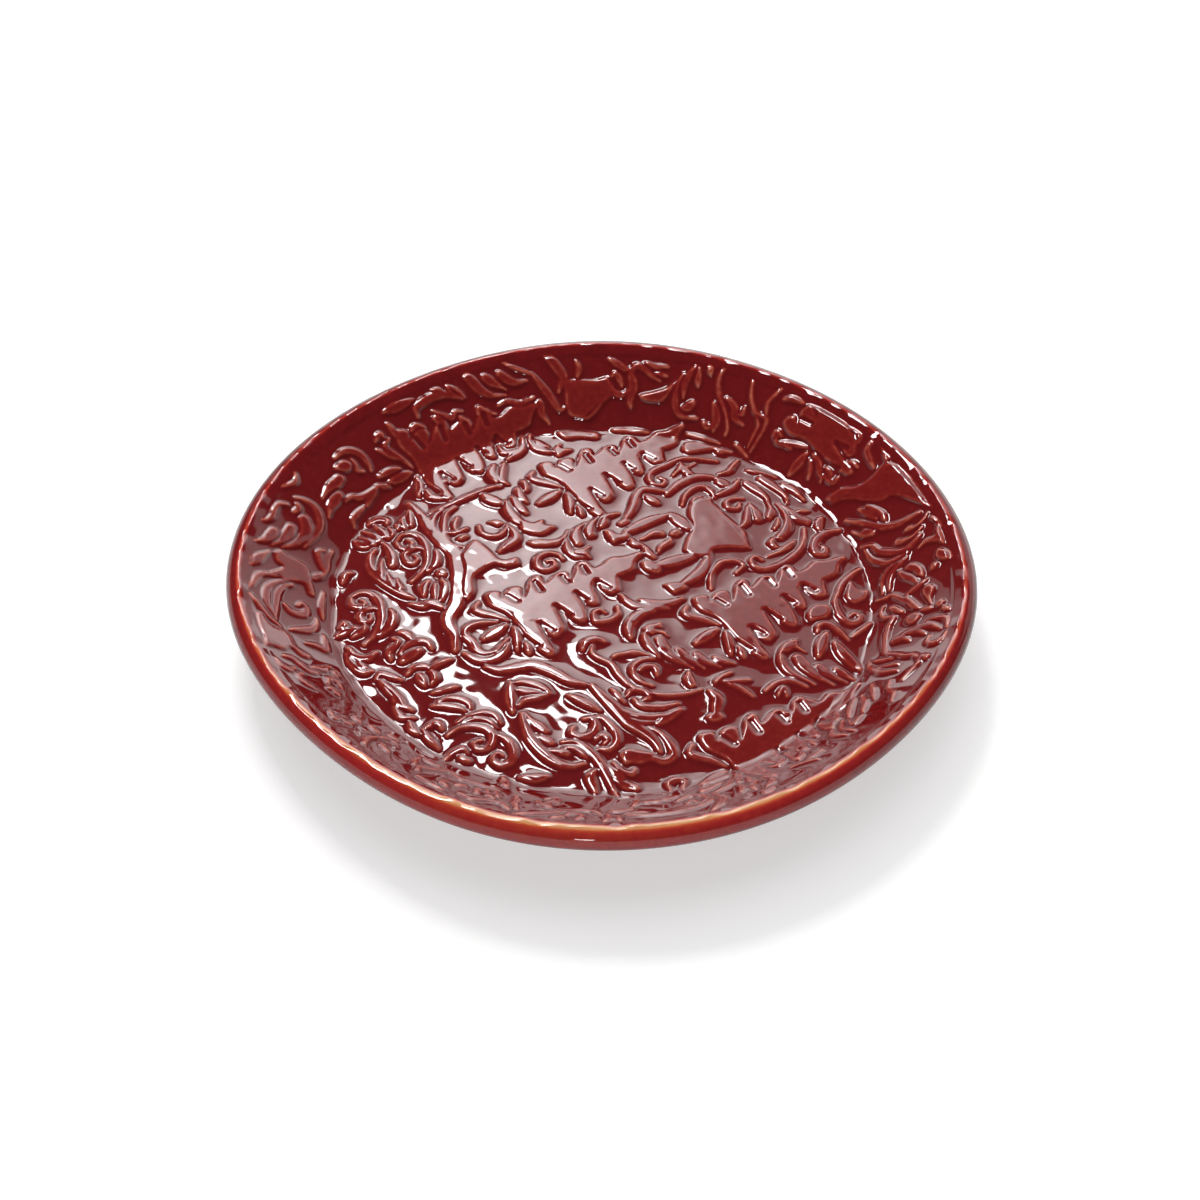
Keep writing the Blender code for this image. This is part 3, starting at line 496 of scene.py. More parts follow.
def leftTulips():
    ridge(2.2, (-59.6, -18.2), (-57.4, -19), (-55.4, -21.6))
    ridge(2.2, (-61, -20.8), (-59.6, -22.6), (-61.6, -26.6), (-61, -29.8))
    ridge(2.3, (-58.6, -27.8), (-56.6, -24), (-53.6, -22), (-51, -22.4), (-49.6, -24.8))
    ridge(3.2, (-57.8, -30.8), (-55.6, -28), (-52.8, -25.4))
    ridge(2.6, (-73.8, -25.2), (-71.6, -28.6), (-68, -29.6), (-65.4, -26.8))
    ridge(2.4, (-74, -27.6), (-72, -32), (-68.4, -35.4), (-65.8, -34.6))
    ridge(2.0, (-70.6, -30.8), (-68.8, -33), (-67, -34))
    ridge(2.2, (-64.4, -38.2), (-63.4, -35.8), (-61.4, -36.4), (-57.2, -38.2))
    ridge(2.6, (-63.6, -38.4), (-60.6, -42), (-57.4, -46), (-55.4, -49))
    ridge(2.4, (-59.4, -43.6), (-57, -48), (-53.2, -50.2))
    ridge(2.2, (-58.6, -48.6), (-56, -53), (-52.4, -53.2))
    ridge(2.3, (-55.8, -35.8), (-53.6, -32.8), (-51, -32.6), (-49.2, -33.6))
    ridge(2.2, (-49.6, -34.8), (-47.4, -31.6), (-43.6, -29.2))
    ridge(2.2, (-49, -34), (-47.8, -37), (-48.6, -40))
    ridge(2.6, (-52.6, -35.6), (-51.4, -38), (-50.2, -40.4))
    ridge(2.2, (-47.8, -43.2), (-44.6, -42), (-41.2, -40.4))
    ridge(2.2, (-46.6, -47.2), (-43, -45.4), (-40, -45.6), (-37.4, -47.4), (-36.8, -50))
    ridge(2.2, (-47.6, -48.4), (-43.6, -48.4), (-39.6, -49.4), (-38, -50.8))
    ridge(2.2, (-53.6, -54.8), (-52.6, -58), (-50.2, -59.8))
    ridge(2.2, (-49, -57.4), (-46, -55.2), (-44.2, -57.6))
    ridge(2.2, (-49.8, -57.6), (-48, -61), (-44.8, -64.8))


def lowerVolutes():
    ridge(2.8, (-26, -38.4), (-25.8, -42), (-25.6, -46), (-24.8, -50.6))
    ridge(2.4, (-24.8, -38.6), (-21.6, -38.4), (-17.6, -40), (-14.4, -42.8))
    ridge(2.2, (-24.2, -41.4), (-21, -42.4), (-17, -42.8))
    ridge(2.2, (-23.8, -48.2), (-21.4, -45.8), (-18, -44.6), (-14.6, -43))
    ridge(2.1, (-40.2, -54.8), (-37, -52.4), (-33, -51), (-30, -51.8), (-28.2, -54.8))
    ridge(1.9, (-38.6, -55), (-35, -53.4), (-31.6, -54), (-29.2, -56.6))
    ridge(2.3, (-42.6, -59.8), (-40, -57.4), (-36.6, -56.2), (-33, -56.6), (-30.4, -58.6), (-30, -62),
          (-31.4, -64.8), (-34, -65), (-35, -62.8), (-33.2, -61.4))
    ridge(2.3, (-30, -59.2), (-27.4, -60.2), (-25, -62.6), (-24, -66.4), (-25, -70.2), (-27.6, -71),
          (-29.4, -69), (-28.6, -66.6), (-26.6, -67.4))
    ridge(2.2, (-42.6, -69.2), (-40.6, -66.4), (-38, -65), (-36.8, -66.8))
    ridge(2.2, (-39, -67.6), (-37.4, -69), (-35.8, -69.6))
    ridge(2.8, (-22.4, -50.8), (-21.4, -55.4), (-19.6, -60.6), (-16.4, -65.4), (-12.4, -69.4),
          (-8, -71), (-4.4, -69.8))
    lobe(2.8, (-15.8, -57.6), (-17.2, -56), (-19.6, -53.8), (-21.6, -50.4))
    lobe(2.6, (-13.8, -62.2), (-15.8, -60.8), (-18.8, -59.4))
    lobe(2.4, (-9.4, -66.2), (-11.6, -65.6), (-15, -65))
    ridge(2.4, (-10.8, -61.8), (-7, -61.8), (-3.6, -64.4), (-1, -68), (1.4, -73), (4.6, -82.4))
    ridge(2.0, (-10, -63.8), (-6.6, -64.6), (-3.4, -68))
    ridge(2.5, (-4.8, -52.6), (-2.4, -52.6), (-1.4, -55.4), (-2.4, -58.6), (-5.4, -59.8), (-8, -58.4),
          (-7.8, -55.8))
    ridge(2.4, (-9.2, -43.4), (-5, -46), (-0.6, -49.2))
    ridge(3.0, (-21.6, -75.4), (-18, -75.8), (-14.4, -74.8))
    ridge(2.4, (-26.4, -75.6), (-25.4, -81.2))
    ridge(2.6, (-1.2, -72.2), (-2.6, -75), (-1.2, -80.4))
    ridge(2.3, (-1.2, -51.4), (1.6, -53.6), (4, -57.4), (4.4, -61.4), (2.4, -64.4), (-0.6, -64.2))
    ridge(2.0, (-1.6, -60.6), (0.6, -59), (2, -60.6), (0.8, -62.6))
    lobe(2.6, (6, -75.2), (4, -73.2), (1.4, -69.8))
    ridge(2.2, (3.4, -69.4), (5.6, -72.6), (8.6, -73.6), (9.6, -71.4))
    lobe(2.8, (9.6, -78.8), (5.4, -76.8), (2, -73))
    ridge(2.2, (19, -79.4), (18.6, -77), (20.6, -75.6), (22.8, -76.2), (22.4, -79.2))


def wallBack():
    blade((-14, 96.6), (-9, 96.8), (-3, 97), (1, 98.4), (2.4, 93), (-1, 90.4), (-4, 87), (-7, 84.6),
          (-11, 84.6), (-13, 87), (-13.6, 91), height=1.0)
    ridge(1.8, (-15, 98), (-12, 96.6), (-7, 96.6), (-3, 96.8), (0.8, 98.4))
    ridge(1.7, (8, 94), (5, 92.4), (2, 92.6), (-1, 90.6), (-3, 87.6), (-6, 84.8), (-10.6, 85.2))
    ridge(3.0, (-22.4, 108), (-19, 104), (-16.4, 101), (-14.2, 97.6), (-15.6, 93))
    ridge(2.4, (-25.2, 98.6), (-22, 95), (-19, 91.6), (-16.6, 88.4), (-15, 86.8), (-12.8, 88))
    ridge(1.6, (-36.4, 102.4), (-32, 100), (-28, 99), (-24.6, 98))
    ridge(2.0, (-10, 103.8), (-9, 101.2), (-9.6, 98))
    lobe(3.4, (-47.2, 94.4), (-45, 92.6), (-42, 90.2), (-38, 89.2), (-33.6, 90))
    lobe(3.2, (-41, 95), (-38, 93.6), (-33.6, 92))
    lobe(3.0, (-36, 97), (-33, 95.2), (-30, 94.8), (-26.6, 96))
    lobe(2.8, (-22, 88.6), (-21, 85), (-18.4, 81.8))
    ridge(2.2, (-35.8, 86), (-33, 87.8), (-29, 87.4), (-26.4, 88.6), (-23.8, 90.4))
    ridge(1.8, (-28.6, 84.6), (-28, 87.4))
    ridge(1.8, (-26.8, 82.6), (-26, 86))
    blade((-43.4, 84), (-42, 85.2), (-39.6, 84.2), (-35.8, 83), (-38, 81.4), (-41, 80.4), (-43, 81.2))
    blade((-49.4, 79.4), (-48, 80.4), (-43.8, 77.8), (-45, 76.4), (-48, 77))
    ridge(2.2, (0.4, 98.2), (1.6, 95.6), (3, 93.4), (6, 92.6), (8.4, 94.8))
    ridge(2.2, (1.8, 98.6), (3.6, 99.6), (5.2, 97), (5.6, 95.4))
    ridge(2.8, (8.6, 88.4), (8.4, 91), (9.4, 95.4), (8.8, 99), (8.4, 101.4))
    ridge(2.2, (9, 96), (8.8, 100), (10.6, 102.2), (13.4, 101.2), (15.8, 98.8), (18.6, 97))
    ridge(2.0, (13.6, 103.4), (17, 101.8), (21.4, 101.6))
    ridge(2.0, (16.8, 99.6), (20.8, 98.4))
    ridge(2.2, (1.2, 104.8), (4, 103), (6.6, 101.4), (9, 101))
    blade((11.4, 92.4), (16, 93.4), (20.6, 94.6), (24.4, 97), (22.6, 93), (19.4, 89.8), (16, 89.6),
          (13, 90.4))
    ridge(2.2, (26.6, 98.8), (24.4, 95), (23.6, 90.4), (24, 86.4), (26, 84), (30.6, 83))
    ridge(2.4, (31, 101.2), (28.4, 98), (26.8, 95), (26.2, 90.6))
    ridge(2.8, (25.6, 87.2), (27.4, 87), (29.8, 88.8))
    blade((32.2, 101.2), (33, 98), (32.6, 95), (31.4, 93.4), (30.2, 95.6), (30.6, 98.6))
    blade((35, 101.2), (36.8, 100.8), (37, 98.2), (35.8, 97), (34.6, 98.6))
    ridge(1.9, (41.6, 101), (39.4, 97.4), (38.4, 94), (38.6, 90), (39.6, 86), (40.6, 82), (40.6, 78),
          (39.8, 76))
    ridge(2.8, (36.6, 87.8), (37.2, 84.4), (37, 81), (35.8, 78))
    ridge(2.2, (32.6, 81.6), (33.6, 80), (35.4, 79.6), (36.6, 81.2))
    ridge(2.6, (40.6, 88.8), (42.4, 87), (43.6, 84.4), (43.2, 81.6), (45.8, 78.4))
    ridge(2.0, (43.2, 82.6), (45.4, 82.2), (47, 84.4))
    ridge(1.8, (50.2, 93.4), (49.4, 89), (49.6, 85), (50.6, 81.6), (53.6, 79), (53, 76), (50.4, 72.4),
          (47.4, 68.4))
    ridge(1.7, (50.6, 81), (51, 77), (48.8, 73), (46.8, 70))
    ridge(1.7, (59.8, 88.8), (57, 86.4), (55, 84.6), (54.2, 82), (53.6, 78.8))
    ridge(1.8, (42.6, 72.2), (44, 70.6), (46.4, 67))


def wallUpperRight():
    ridge(2.2, (55.8, 71.8), (57, 73.2), (58.4, 71.4))
    ridge(2.2, (57.6, 69.8), (60, 68), (61.4, 66.2))
    ridge(2.4, (60.4, 84.8), (64, 84), (67, 81.6))
    ridge(2.0, (65.6, 54), (67.2, 58), (66.8, 61))
    ridge(2.2, (69.6, 51.6), (71, 53), (73.6, 50), (75.6, 51.4))
    ridge(2.0, (79, 55.6), (80.6, 54.8), (82.2, 52.6))
    ridge(2.2, (78.6, 60.6), (80.4, 58.4), (82.2, 59.4))
    ridge(2.2, (88.6, 61.6), (86.2, 58), (86.6, 54), (87.6, 50.2))
    ridge(2.4, (91.4, 58), (92.4, 54.6), (91.8, 51.4))
    ridge(2.0, (80, 68.6), (84, 66), (83.6, 62.4), (81, 60.6))
    ridge(2.0, (68.4, 80.4), (72, 78), (75, 74.8))
    blade((71, 44.6), (76, 46), (80, 44.8), (84, 45.2), (88, 47.6), (92, 50.4), (96, 48), (100, 41),
          (104, 32.6), (106.6, 26), (102, 30), (97, 35), (92, 38.2), (88, 37.8), (82, 40.6), (77, 42.8),
          (72.6, 42.4), height=1.0)
    ridge(1.8, (71, 44.6), (76, 46), (80, 44.8), (84, 45.2), (87.4, 47), (90, 49.6), (92.4, 50.8))
    ridge(1.8, (72.4, 42.4), (76, 42.8), (80, 41.6), (84, 39.4), (88, 37.8), (92, 38.2), (95, 36.6),
          (98, 33.8), (102, 29.6), (107, 25.4))
    ridge(2.4, (83.4, 37), (85.4, 34.4), (87.6, 31.4), (88.6, 28.4))
    ridge(2.6, (80.8, 36.6), (82.6, 34.8), (84.6, 32.4), (86.2, 29.8))


def wallRight():
    ridge(2.4, (75.8, 34.2), (78, 32.6), (81, 31), (85, 28), (88, 26.2), (92, 25.2), (96, 25.8),
          (99.6, 26.8))
    blade((77.4, 29.2), (80, 27.6), (82, 28.4), (85.4, 26), (84, 24.4), (81, 24.8), (79, 26.4))
    ridge(2.4, (79.8, 21.8), (83, 20.6), (85, 17.4), (88, 15.4), (91, 14), (94, 14), (97, 16),
          (98.8, 17.8))
    ridge(2.2, (80.6, 21), (82, 16), (84.4, 13.2), (88, 11.2), (94, 12.2))
    blade((93.8, 21.4), (95.4, 23), (97.6, 22.2), (100.4, 23.8), (102.4, 25.8), (101.6, 23.8),
          (99.4, 21.6), (96, 20.6))
    blade((90.2, 18), (91.4, 19.4), (93.6, 18.6), (96.6, 18.8), (100, 21.2), (99, 19.2), (96, 17.4),
          (93, 16.6), (91, 16.8))
    ridge(2.0, (84.4, -0.4), (85, 4.4), (87, 8), (90.8, 10.2))
    ridge(2.2, (86.6, 0), (87, 4), (88.8, 7), (91.6, 9.4), (93.4, 10.6))
    blade((92, 5.6), (94, 7.2), (96, 6.4), (97.8, 3.6), (98, 0), (96, 0.4), (94.6, 3))
    ridge(2.4, (90.4, 5.8), (92, 3), (94, 0.6), (95.6, -2.4))
    blade((97.4, 12.6), (100, 14.8), (103, 15), (105, 18), (106, 13), (105.6, 10.2), (103.6, 11.4),
          (101, 12.6))
    ridge(2.0, (103.2, 22.8), (105.2, 20.6), (105.4, 18.4), (104, 16.6))
    blade((102.2, 6), (103.6, 8.8), (106, 7), (108.6, 5.2), (107, 2.8), (104, 3.2))
    ridge(2.0, (100.6, 1.4), (102.2, 3.2))
    ridge(1.9, (82.6, -2.6), (85, -3), (87, -3), (89, -5), (91, -8), (93, -11), (95.2, -13.8))
    ridge(2.0, (84, -6.2), (83, -8.6), (84, -11.6), (86.6, -13), (85, -16), (83.8, -20), (83, -25),
          (83.2, -29), (86.4, -32), (89, -34.4), (91.6, -36), (93.2, -38.4), (93.4, -41), (91, -44),
          (87.8, -47.2))
    blade((85.8, -7.8), (88, -8.4), (90.2, -12.2), (88.4, -12.2), (86.2, -10.4))
    blade((91, -5.4), (92.6, -7), (95.6, -13.8), (93, -13.2), (91.2, -10))
    ridge(2.0, (91.2, -5.8), (93, -5), (96, -3.6), (98.4, -2.2))
    blade((96.8, -6), (98.6, -4.6), (100.6, -7), (99.4, -11), (99, -14.6), (97.4, -11), (96.6, -8))
    blade((90.2, -17.4), (91.4, -15.2), (94, -15.2), (95.2, -17.4), (93.6, -19.6), (91.4, -19.6))
    ridge(2.0, (95.4, -15.2), (98.8, -16))
    blade((99.8, -15.6), (101.6, -13.8), (103.2, -15.6), (101.6, -17.4))
    blade((101.6, -18.4), (103, -17.4), (104.8, -20.2), (102.6, -20.2))
    lobe(2.8, (86.2, -24.4), (88.4, -24.6), (90.8, -27))
    lobe(3.0, (89.8, -23.4), (93, -23.8), (95.8, -27))
    lobe(3.0, (94.2, -22.8), (97.6, -24.2), (100.8, -27.8))
    ridge(2.0, (96.6, -21.4), (100, -22), (103, -24.4), (102.8, -28.4))
    ridge(2.0, (97.2, -29.4), (96.4, -32), (98, -34), (101, -33.6), (102.6, -30.8))
    blade((93.4, -38.4), (95, -37.8), (97.2, -40), (95.6, -41.6), (93.8, -40.4))


def wallLowerRight():
    ridge(2.2, (77.8, -29.4), (77.6, -32), (79, -35), (82, -38.4), (86.4, -40.6))
    ridge(2.0, (78.8, -30.4), (82, -31.8), (85.4, -33.2))
    ridge(2.0, (79.8, -34.4), (83, -36), (86.8, -37.2))
    ridge(1.9, (84, -44.6), (83.4, -50), (85, -54), (84.2, -58))
    ridge(2.0, (78, -42.6), (78.4, -48), (78.6, -51.8))
    ridge(2.0, (74.8, -46.6), (75.6, -52), (75, -57.4))
    ridge(2.0, (72.4, -46.4), (70.8, -52), (70.6, -57.4))
    ridge(2.0, (65.2, -61.6), (65.6, -66), (69.6, -69.2))
    ridge(2.0, (68.4, -57.6), (68.6, -64), (72.2, -68.2))
    ridge(2.0, (70.4, -59.8), (72, -63), (75, -59.6))
    ridge(2.2, (49.6, -50.2), (53, -50), (56.4, -51.8))
    ridge(2.2, (56.6, -43.8), (60, -45.4), (62.4, -46.2))
    blade((60.6, -54.6), (63, -53.6), (65.8, -55), (66.2, -59), (65.6, -61.4), (62.6, -59.6))
    ridge(2.2, (56.8, -61.6), (59.8, -67.4))
    blade((50.4, -67), (51.6, -72), (55, -76.4), (57.2, -73), (56, -68), (54, -63.6))
    ridge(2.0, (36.6, -77.2), (38, -75.4), (42, -73), (45, -70), (48.4, -68.4))
    ridge(2.0, (36.4, -77), (36, -80), (35, -83), (33, -85.8), (30.6, -87.6))
    blade((26.8, -83), (28, -80.8), (31, -80.4), (33.4, -79.2), (32, -82.4), (29.4, -84.8),
          (27.2, -85.8))
    ridge(2.4, (30.8, -88.4), (32.4, -91), (33.4, -94), (32.6, -98), (30.8, -102.4))
    ridge(2.0, (29.8, -77.8), (33, -75.4), (36.4, -74.4))
    ridge(2.2, (43, -84), (41.6, -87.6), (42.4, -91))
    ridge(2.2, (38.2, -85), (39, -88), (38.6, -91.4))
    ridge(2.2, (47, -84.6), (47.4, -88), (46, -91.6))
    ridge(2.2, (44.6, -94), (46, -96), (47.8, -92.4))
    ridge(2.2, (57.6, -78.8), (60, -76.2), (62.4, -74.4))
    ridge(2.0, (53, -80.6), (57, -79.8), (61, -80.4))


def wallFront():
    ridge(2.0, (21, -90), (23.4, -88), (26, -87.4), (28.4, -89.4), (29.2, -92.2), (27.8, -94))
    ridge(1.8, (23.8, -94), (25, -92), (26.2, -94))
    ridge(2.2, (30.8, -90.8), (30, -94.4), (27.4, -97), (24, -99), (19, -100.4), (13, -101.2),
          (7.6, -101))
    ridge(2.0, (25.4, -95.8), (20, -98.6), (15.6, -100))
    ridge(2.0, (6.8, -99.8), (9, -98.8), (12.4, -98.4))
    ridge(2.8, (11.8, -89.8), (14, -88.6), (16, -89.4))
    ridge(2.4, (16.4, -88.6), (18.6, -87.4), (21.2, -86))
    ridge(1.9, (9.6, -86.8), (10.2, -89), (9.2, -92.4))
    ridge(2.2, (2.8, -97.2), (6, -96.6), (8.8, -94.6))
    ridge(2.0, (1.8, -99.6), (2.8, -103), (1.2, -106.4))
    ridge(2.0, (4.6, -101.6), (5.4, -105.4))
    ridge(2.2, (-25, -106), (-20, -103.8), (-15, -101.6), (-10, -98.6), (-6, -97), (-2, -97.4),
          (0.4, -100))
    ridge(2.4, (-14.4, -87.8), (-12, -87.4), (-12, -90), (-14, -92), (-13.4, -95.4))
    ridge(2.0, (-17.2, -91.2), (-15.4, -94), (-13.8, -95.8))
    ridge(2.0, (-9.2, -102.2), (-7.2, -99.8), (-5, -102), (-6, -105))
    ridge(2.0, (-12.8, -105.2), (-9.6, -103.2))
    ridge(2.0, (-23, -87.6), (-22.4, -92), (-23, -96), (-22.4, -100.4))
    ridge(2.0, (-38.4, -95.6), (-35, -98.6), (-32, -97.4), (-29, -97), (-26.4, -98), (-24.8, -101.4))
    ridge(2.0, (-33, -87.6), (-33.6, -92.4))
    ridge(2.0, (-30.8, -87.2), (-30.2, -92), (-28.8, -94.4))
    ridge(2.0, (-28.4, -87.6), (-27.8, -92.4))
    ridge(2.2, (-42.2, -77.4), (-40, -80.4), (-37.4, -82.6), (-33, -84), (-27.6, -86.2))
    ridge(2.0, (-39.8, -80.4), (-37.4, -84))
    ridge(2.0, (-42, -87.6), (-43.2, -89.6), (-42.2, -92.4))
    ridge(2.2, (-39.4, -89), (-36.6, -88))
    ridge(2.0, (-50.6, -90.2), (-48, -92.6), (-45.6, -95.4))
    blade((-47.2, -92.8), (-44.6, -94.4), (-42.8, -96.6), (-45.6, -96.2))


def wallLowerLeft():
    ridge(2.0, (-51.6, -81.4), (-51, -77), (-49.8, -74.2))
    ridge(2.4, (-50.2, -72.8), (-47, -75), (-44.2, -77.2))
    ridge(2.2, (-50.6, -85), (-50, -82.4), (-47, -81), (-43, -79.4), (-40.8, -77.8))
    ridge(2.0, (-66.8, -79.2), (-66, -74), (-62.8, -69.8))
    ridge(2.0, (-62.2, -69), (-59, -68), (-56.8, -69.8))
    ridge(2.0, (-61.8, -73.6), (-59.6, -78.4))
    ridge(2.0, (-77.8, -64.8), (-76.4, -68.4), (-74.6, -67), (-72, -68.4), (-70.2, -65.8))
    ridge(2.0, (-70.2, -60.8), (-68.4, -64))
    ridge(2.2, (-65.2, -62.8), (-62.4, -66.2))
    ridge(2.2, (-59.2, -63.4), (-56.8, -66.4))
    ridge(2.0, (-86.8, -48), (-88.2, -50), (-87.4, -52), (-85.4, -53.6), (-82.6, -54.2))
    ridge(2.2, (-95.6, -46), (-94, -48.4), (-91, -49), (-89.6, -46.8))
    ridge(2.2, (-78.8, -46.4), (-78.4, -43.8), (-76, -43.2), (-74.4, -45.8))
    ridge(2.4, (-78.6, -49.6), (-77, -49.2), (-75.2, -51.4))
    ridge(2.6, (-93.2, -42.4), (-90.4, -41.8), (-88, -43), (-85, -44.4), (-82.2, -43.4))
    ridge(2.4, (-78.6, -36.8), (-80.4, -39.6), (-83.8, -41.6))
    ridge(2.4, (-77, -38), (-76.2, -40.8))
    blade((-103, -26), (-101, -25.2), (-99.6, -27.4), (-97.6, -29.4), (-93, -29.8), (-91.4, -32.4),
          (-90, -34.8), (-85.4, -35.4), (-85.2, -37.6), (-88, -38), (-91, -36.4), (-94, -38.4),
          (-97.4, -38.6), (-100, -41), (-100.8, -43.4), (-100, -37), (-102, -32), height=1.0)
    ridge(1.8, (-98.2, -29.2), (-93.4, -29.8), (-91.6, -33), (-90, -35.4), (-87.6, -37.4),
          (-85.2, -36.8))
    ridge(1.9, (-91.8, -36), (-94, -38.2), (-97.4, -38.8), (-99.6, -40.6), (-100.8, -43.4))
    ridge(2.2, (-81.6, -22.4), (-80.8, -26), (-80.4, -28.6), (-83, -28.8), (-86.6, -29.8))
    blade((-84.6, -15.2), (-83.4, -18), (-84, -22), (-87, -25.2), (-92.2, -27.2), (-91.6, -25.2),
          (-88.4, -22.4), (-86.2, -20.4), (-85.2, -18))
    ridge(2.4, (-95.2, -15.6), (-93, -17.6), (-90.6, -17.6), (-88.4, -16), (-88, -13.6), (-89.4, -12),
          (-90.8, -13.6))
    ridge(2.0, (-83.6, -2.8), (-83.6, -9), (-82.6, -14.4))
    ridge(2.0, (-105.8, -17.8), (-103, -20.6), (-101, -23), (-98.6, -25.4), (-95.2, -27.2))


def wallLeft():
    blade((-100.2, 5), (-98.6, 6.8), (-96.6, 5.2), (-93, 5), (-90.6, 4.4), (-89, 2.6), (-88, 0),
          (-86, -5.6), (-88, -6.2), (-90, -3), (-94, -4.6), (-97, -7.8), (-97.6, -4.6), (-101, -4.6),
          (-97.6, 0), (-99.6, 2), height=1.0)
    ridge(1.8, (-100.2, 5), (-98.6, 6.4), (-96.6, 5.2), (-93, 5), (-90.4, 4.4), (-88.8, 2.4))
    ridge(2.4, (-96.8, -5.8), (-99, -8.6), (-100.6, -12), (-100.6, -16), (-99.4, -20), (-96.8, -24.4))
    ridge(2.2, (-93.4, -5.4), (-96, -8), (-97.4, -12), (-97.4, -17), (-97, -24.2))
    ridge(2.0, (-97.2, -4.4), (-101, -5.4), (-103.6, -7.4), (-105, -11), (-106, -14), (-108.2, -17))
    lobe(3.2, (-106.8, -3), (-105.4, -1), (-103.8, 1.6), (-102, 4.6))
    ridge(2.4, (-83, 15.6), (-84.4, 12), (-84.2, 8), (-84.4, 4.4))
    ridge(2.2, (-85.2, 14.8), (-87, 13), (-86.2, 10), (-84.8, 6.2))
    ridge(2.2, (-84.2, 4.8), (-86.4, 2.6), (-88.2, 0.4))
    ridge(2.4, (-97.2, 30.6), (-94, 31), (-91, 30), (-89, 27.4), (-88.2, 23.6), (-89, 19.6),
          (-90.4, 16), (-92, 12.6))
    ridge(2.0, (-96.6, 28.8), (-95.6, 27), (-97, 24.6))
    lobe(3.8, (-93.4, 23.4), (-92, 20), (-92.6, 16), (-95, 12), (-98.4, 8.8))
    lobe(3.2, (-96.8, 18), (-97.4, 15), (-99, 11), (-101.6, 8))
    lobe(3.0, (-101.8, 13.8), (-102.4, 11.4), (-104, 8.6), (-106.8, 6.8))
    ridge(2.0, (-99.4, 26.8), (-101.8, 25.4), (-103, 22.6), (-103.2, 19.4), (-105, 17.2),
          (-107.2, 16.4))
    ridge(1.8, (-98.8, 40.4), (-98.2, 37), (-100, 35), (-104, 32))
    lobe(3.2, (-84, 38), (-85, 35.6), (-86, 32), (-86, 28.4))
    lobe(3.2, (-84.6, 44.6), (-85.4, 42.6), (-87.4, 39.4), (-88.8, 34.8))
    ridge(2.4, (-87.2, 51.6), (-85, 55), (-82, 56.4), (-79, 56), (-76.4, 53.8), (-75.2, 51.8))
    blade((-86.8, 47.6), (-86, 50.6), (-84, 52.2), (-81.6, 51.6), (-81.4, 49.4), (-83.6, 47.4))
    ridge(1.8, (-82, 53.4), (-80.4, 51.6), (-79.4, 50), (-77.4, 50.6))


def wallUpperLeft():
    ridge(2.4, (-66, 55.8), (-69, 53.4), (-72.2, 50.4))
    ridge(2.2, (-81.8, 36.8), (-80, 39.2), (-77.4, 40), (-75, 42), (-73, 45), (-71.8, 47.2))
    ridge(2.4, (-74.8, 37.6), (-74, 41.6), (-72.4, 44.6))
    ridge(2.0, (-72.8, 46.6), (-70.4, 47.2), (-68.2, 48))
    ridge(2.0, (-75.4, 37.4), (-77, 34), (-78.2, 31), (-77.4, 28.4))
    ridge(2.8, (-62.4, 76), (-63.4, 79), (-61, 82.4), (-57.6, 85), (-53.6, 86.6), (-48.2, 86.4))
    ridge(1.8, (-53.8, 89.8), (-52.6, 88), (-50.4, 86))
    ridge(1.8, (-52.8, 89.8), (-50, 88.6), (-47.4, 86.8))
    ridge(1.8, (-58.8, 87), (-56.4, 87.6), (-54.8, 86.4))
    ridge(2.0, (-57.8, 79.6), (-55, 79), (-51, 78.6), (-50, 81), (-47.8, 81.8))
    blade((-57.8, 77), (-56.4, 78.8), (-54, 78), (-52, 75.6), (-51, 72.8), (-54, 72.8), (-56.2, 75))
    ridge(2.2, (-64.2, 69.8), (-62.6, 72.6), (-59.8, 73))
    ridge(2.0, (-75.2, 62.8), (-74, 66), (-72.4, 64.8))
    ridge(2.2, (-72.2, 70.8), (-70, 68.6), (-67.2, 65.8))
    ridge(2.0, (-74.2, 60), (-70, 59.2), (-65.8, 59))
    blade((-74.6, 74), (-73, 77.8), (-69.4, 80.8), (-64.2, 82.6), (-66.2, 78.8), (-70, 75.4),
          height=0.7)


def drawOrnament():
    for shift in oak["places"]:
        oakLeaf(shift)
    for draw in (
        leapingStag, sprigInLegs, acanthusMiddle, crescentsMiddle, leavesTop, scrollsRight,
        scrollsLowerRight, lowerStag, leftStag, leftVolutes, leftTulips, lowerVolutes, wallBack,
        wallUpperRight, wallRight, wallLowerRight, wallFront, wallLowerLeft, wallLeft, wallUpperLeft,
    ):
        draw()


def blurred(field, width):
    # a soft round blur, through the field's spectrum
    turns = np.fft.fftfreq(field.shape[0], emboss["cell"])
    weight = np.exp(-2 * (math.pi * width * turns) ** 2)
    return np.fft.ifft2(np.fft.fft2(field) * weight[:, None] * weight[None, :]).real


def lumpy(chance, width):
    field = blurred(chance.standard_normal(raised.shape), width)
    return field / field.std()


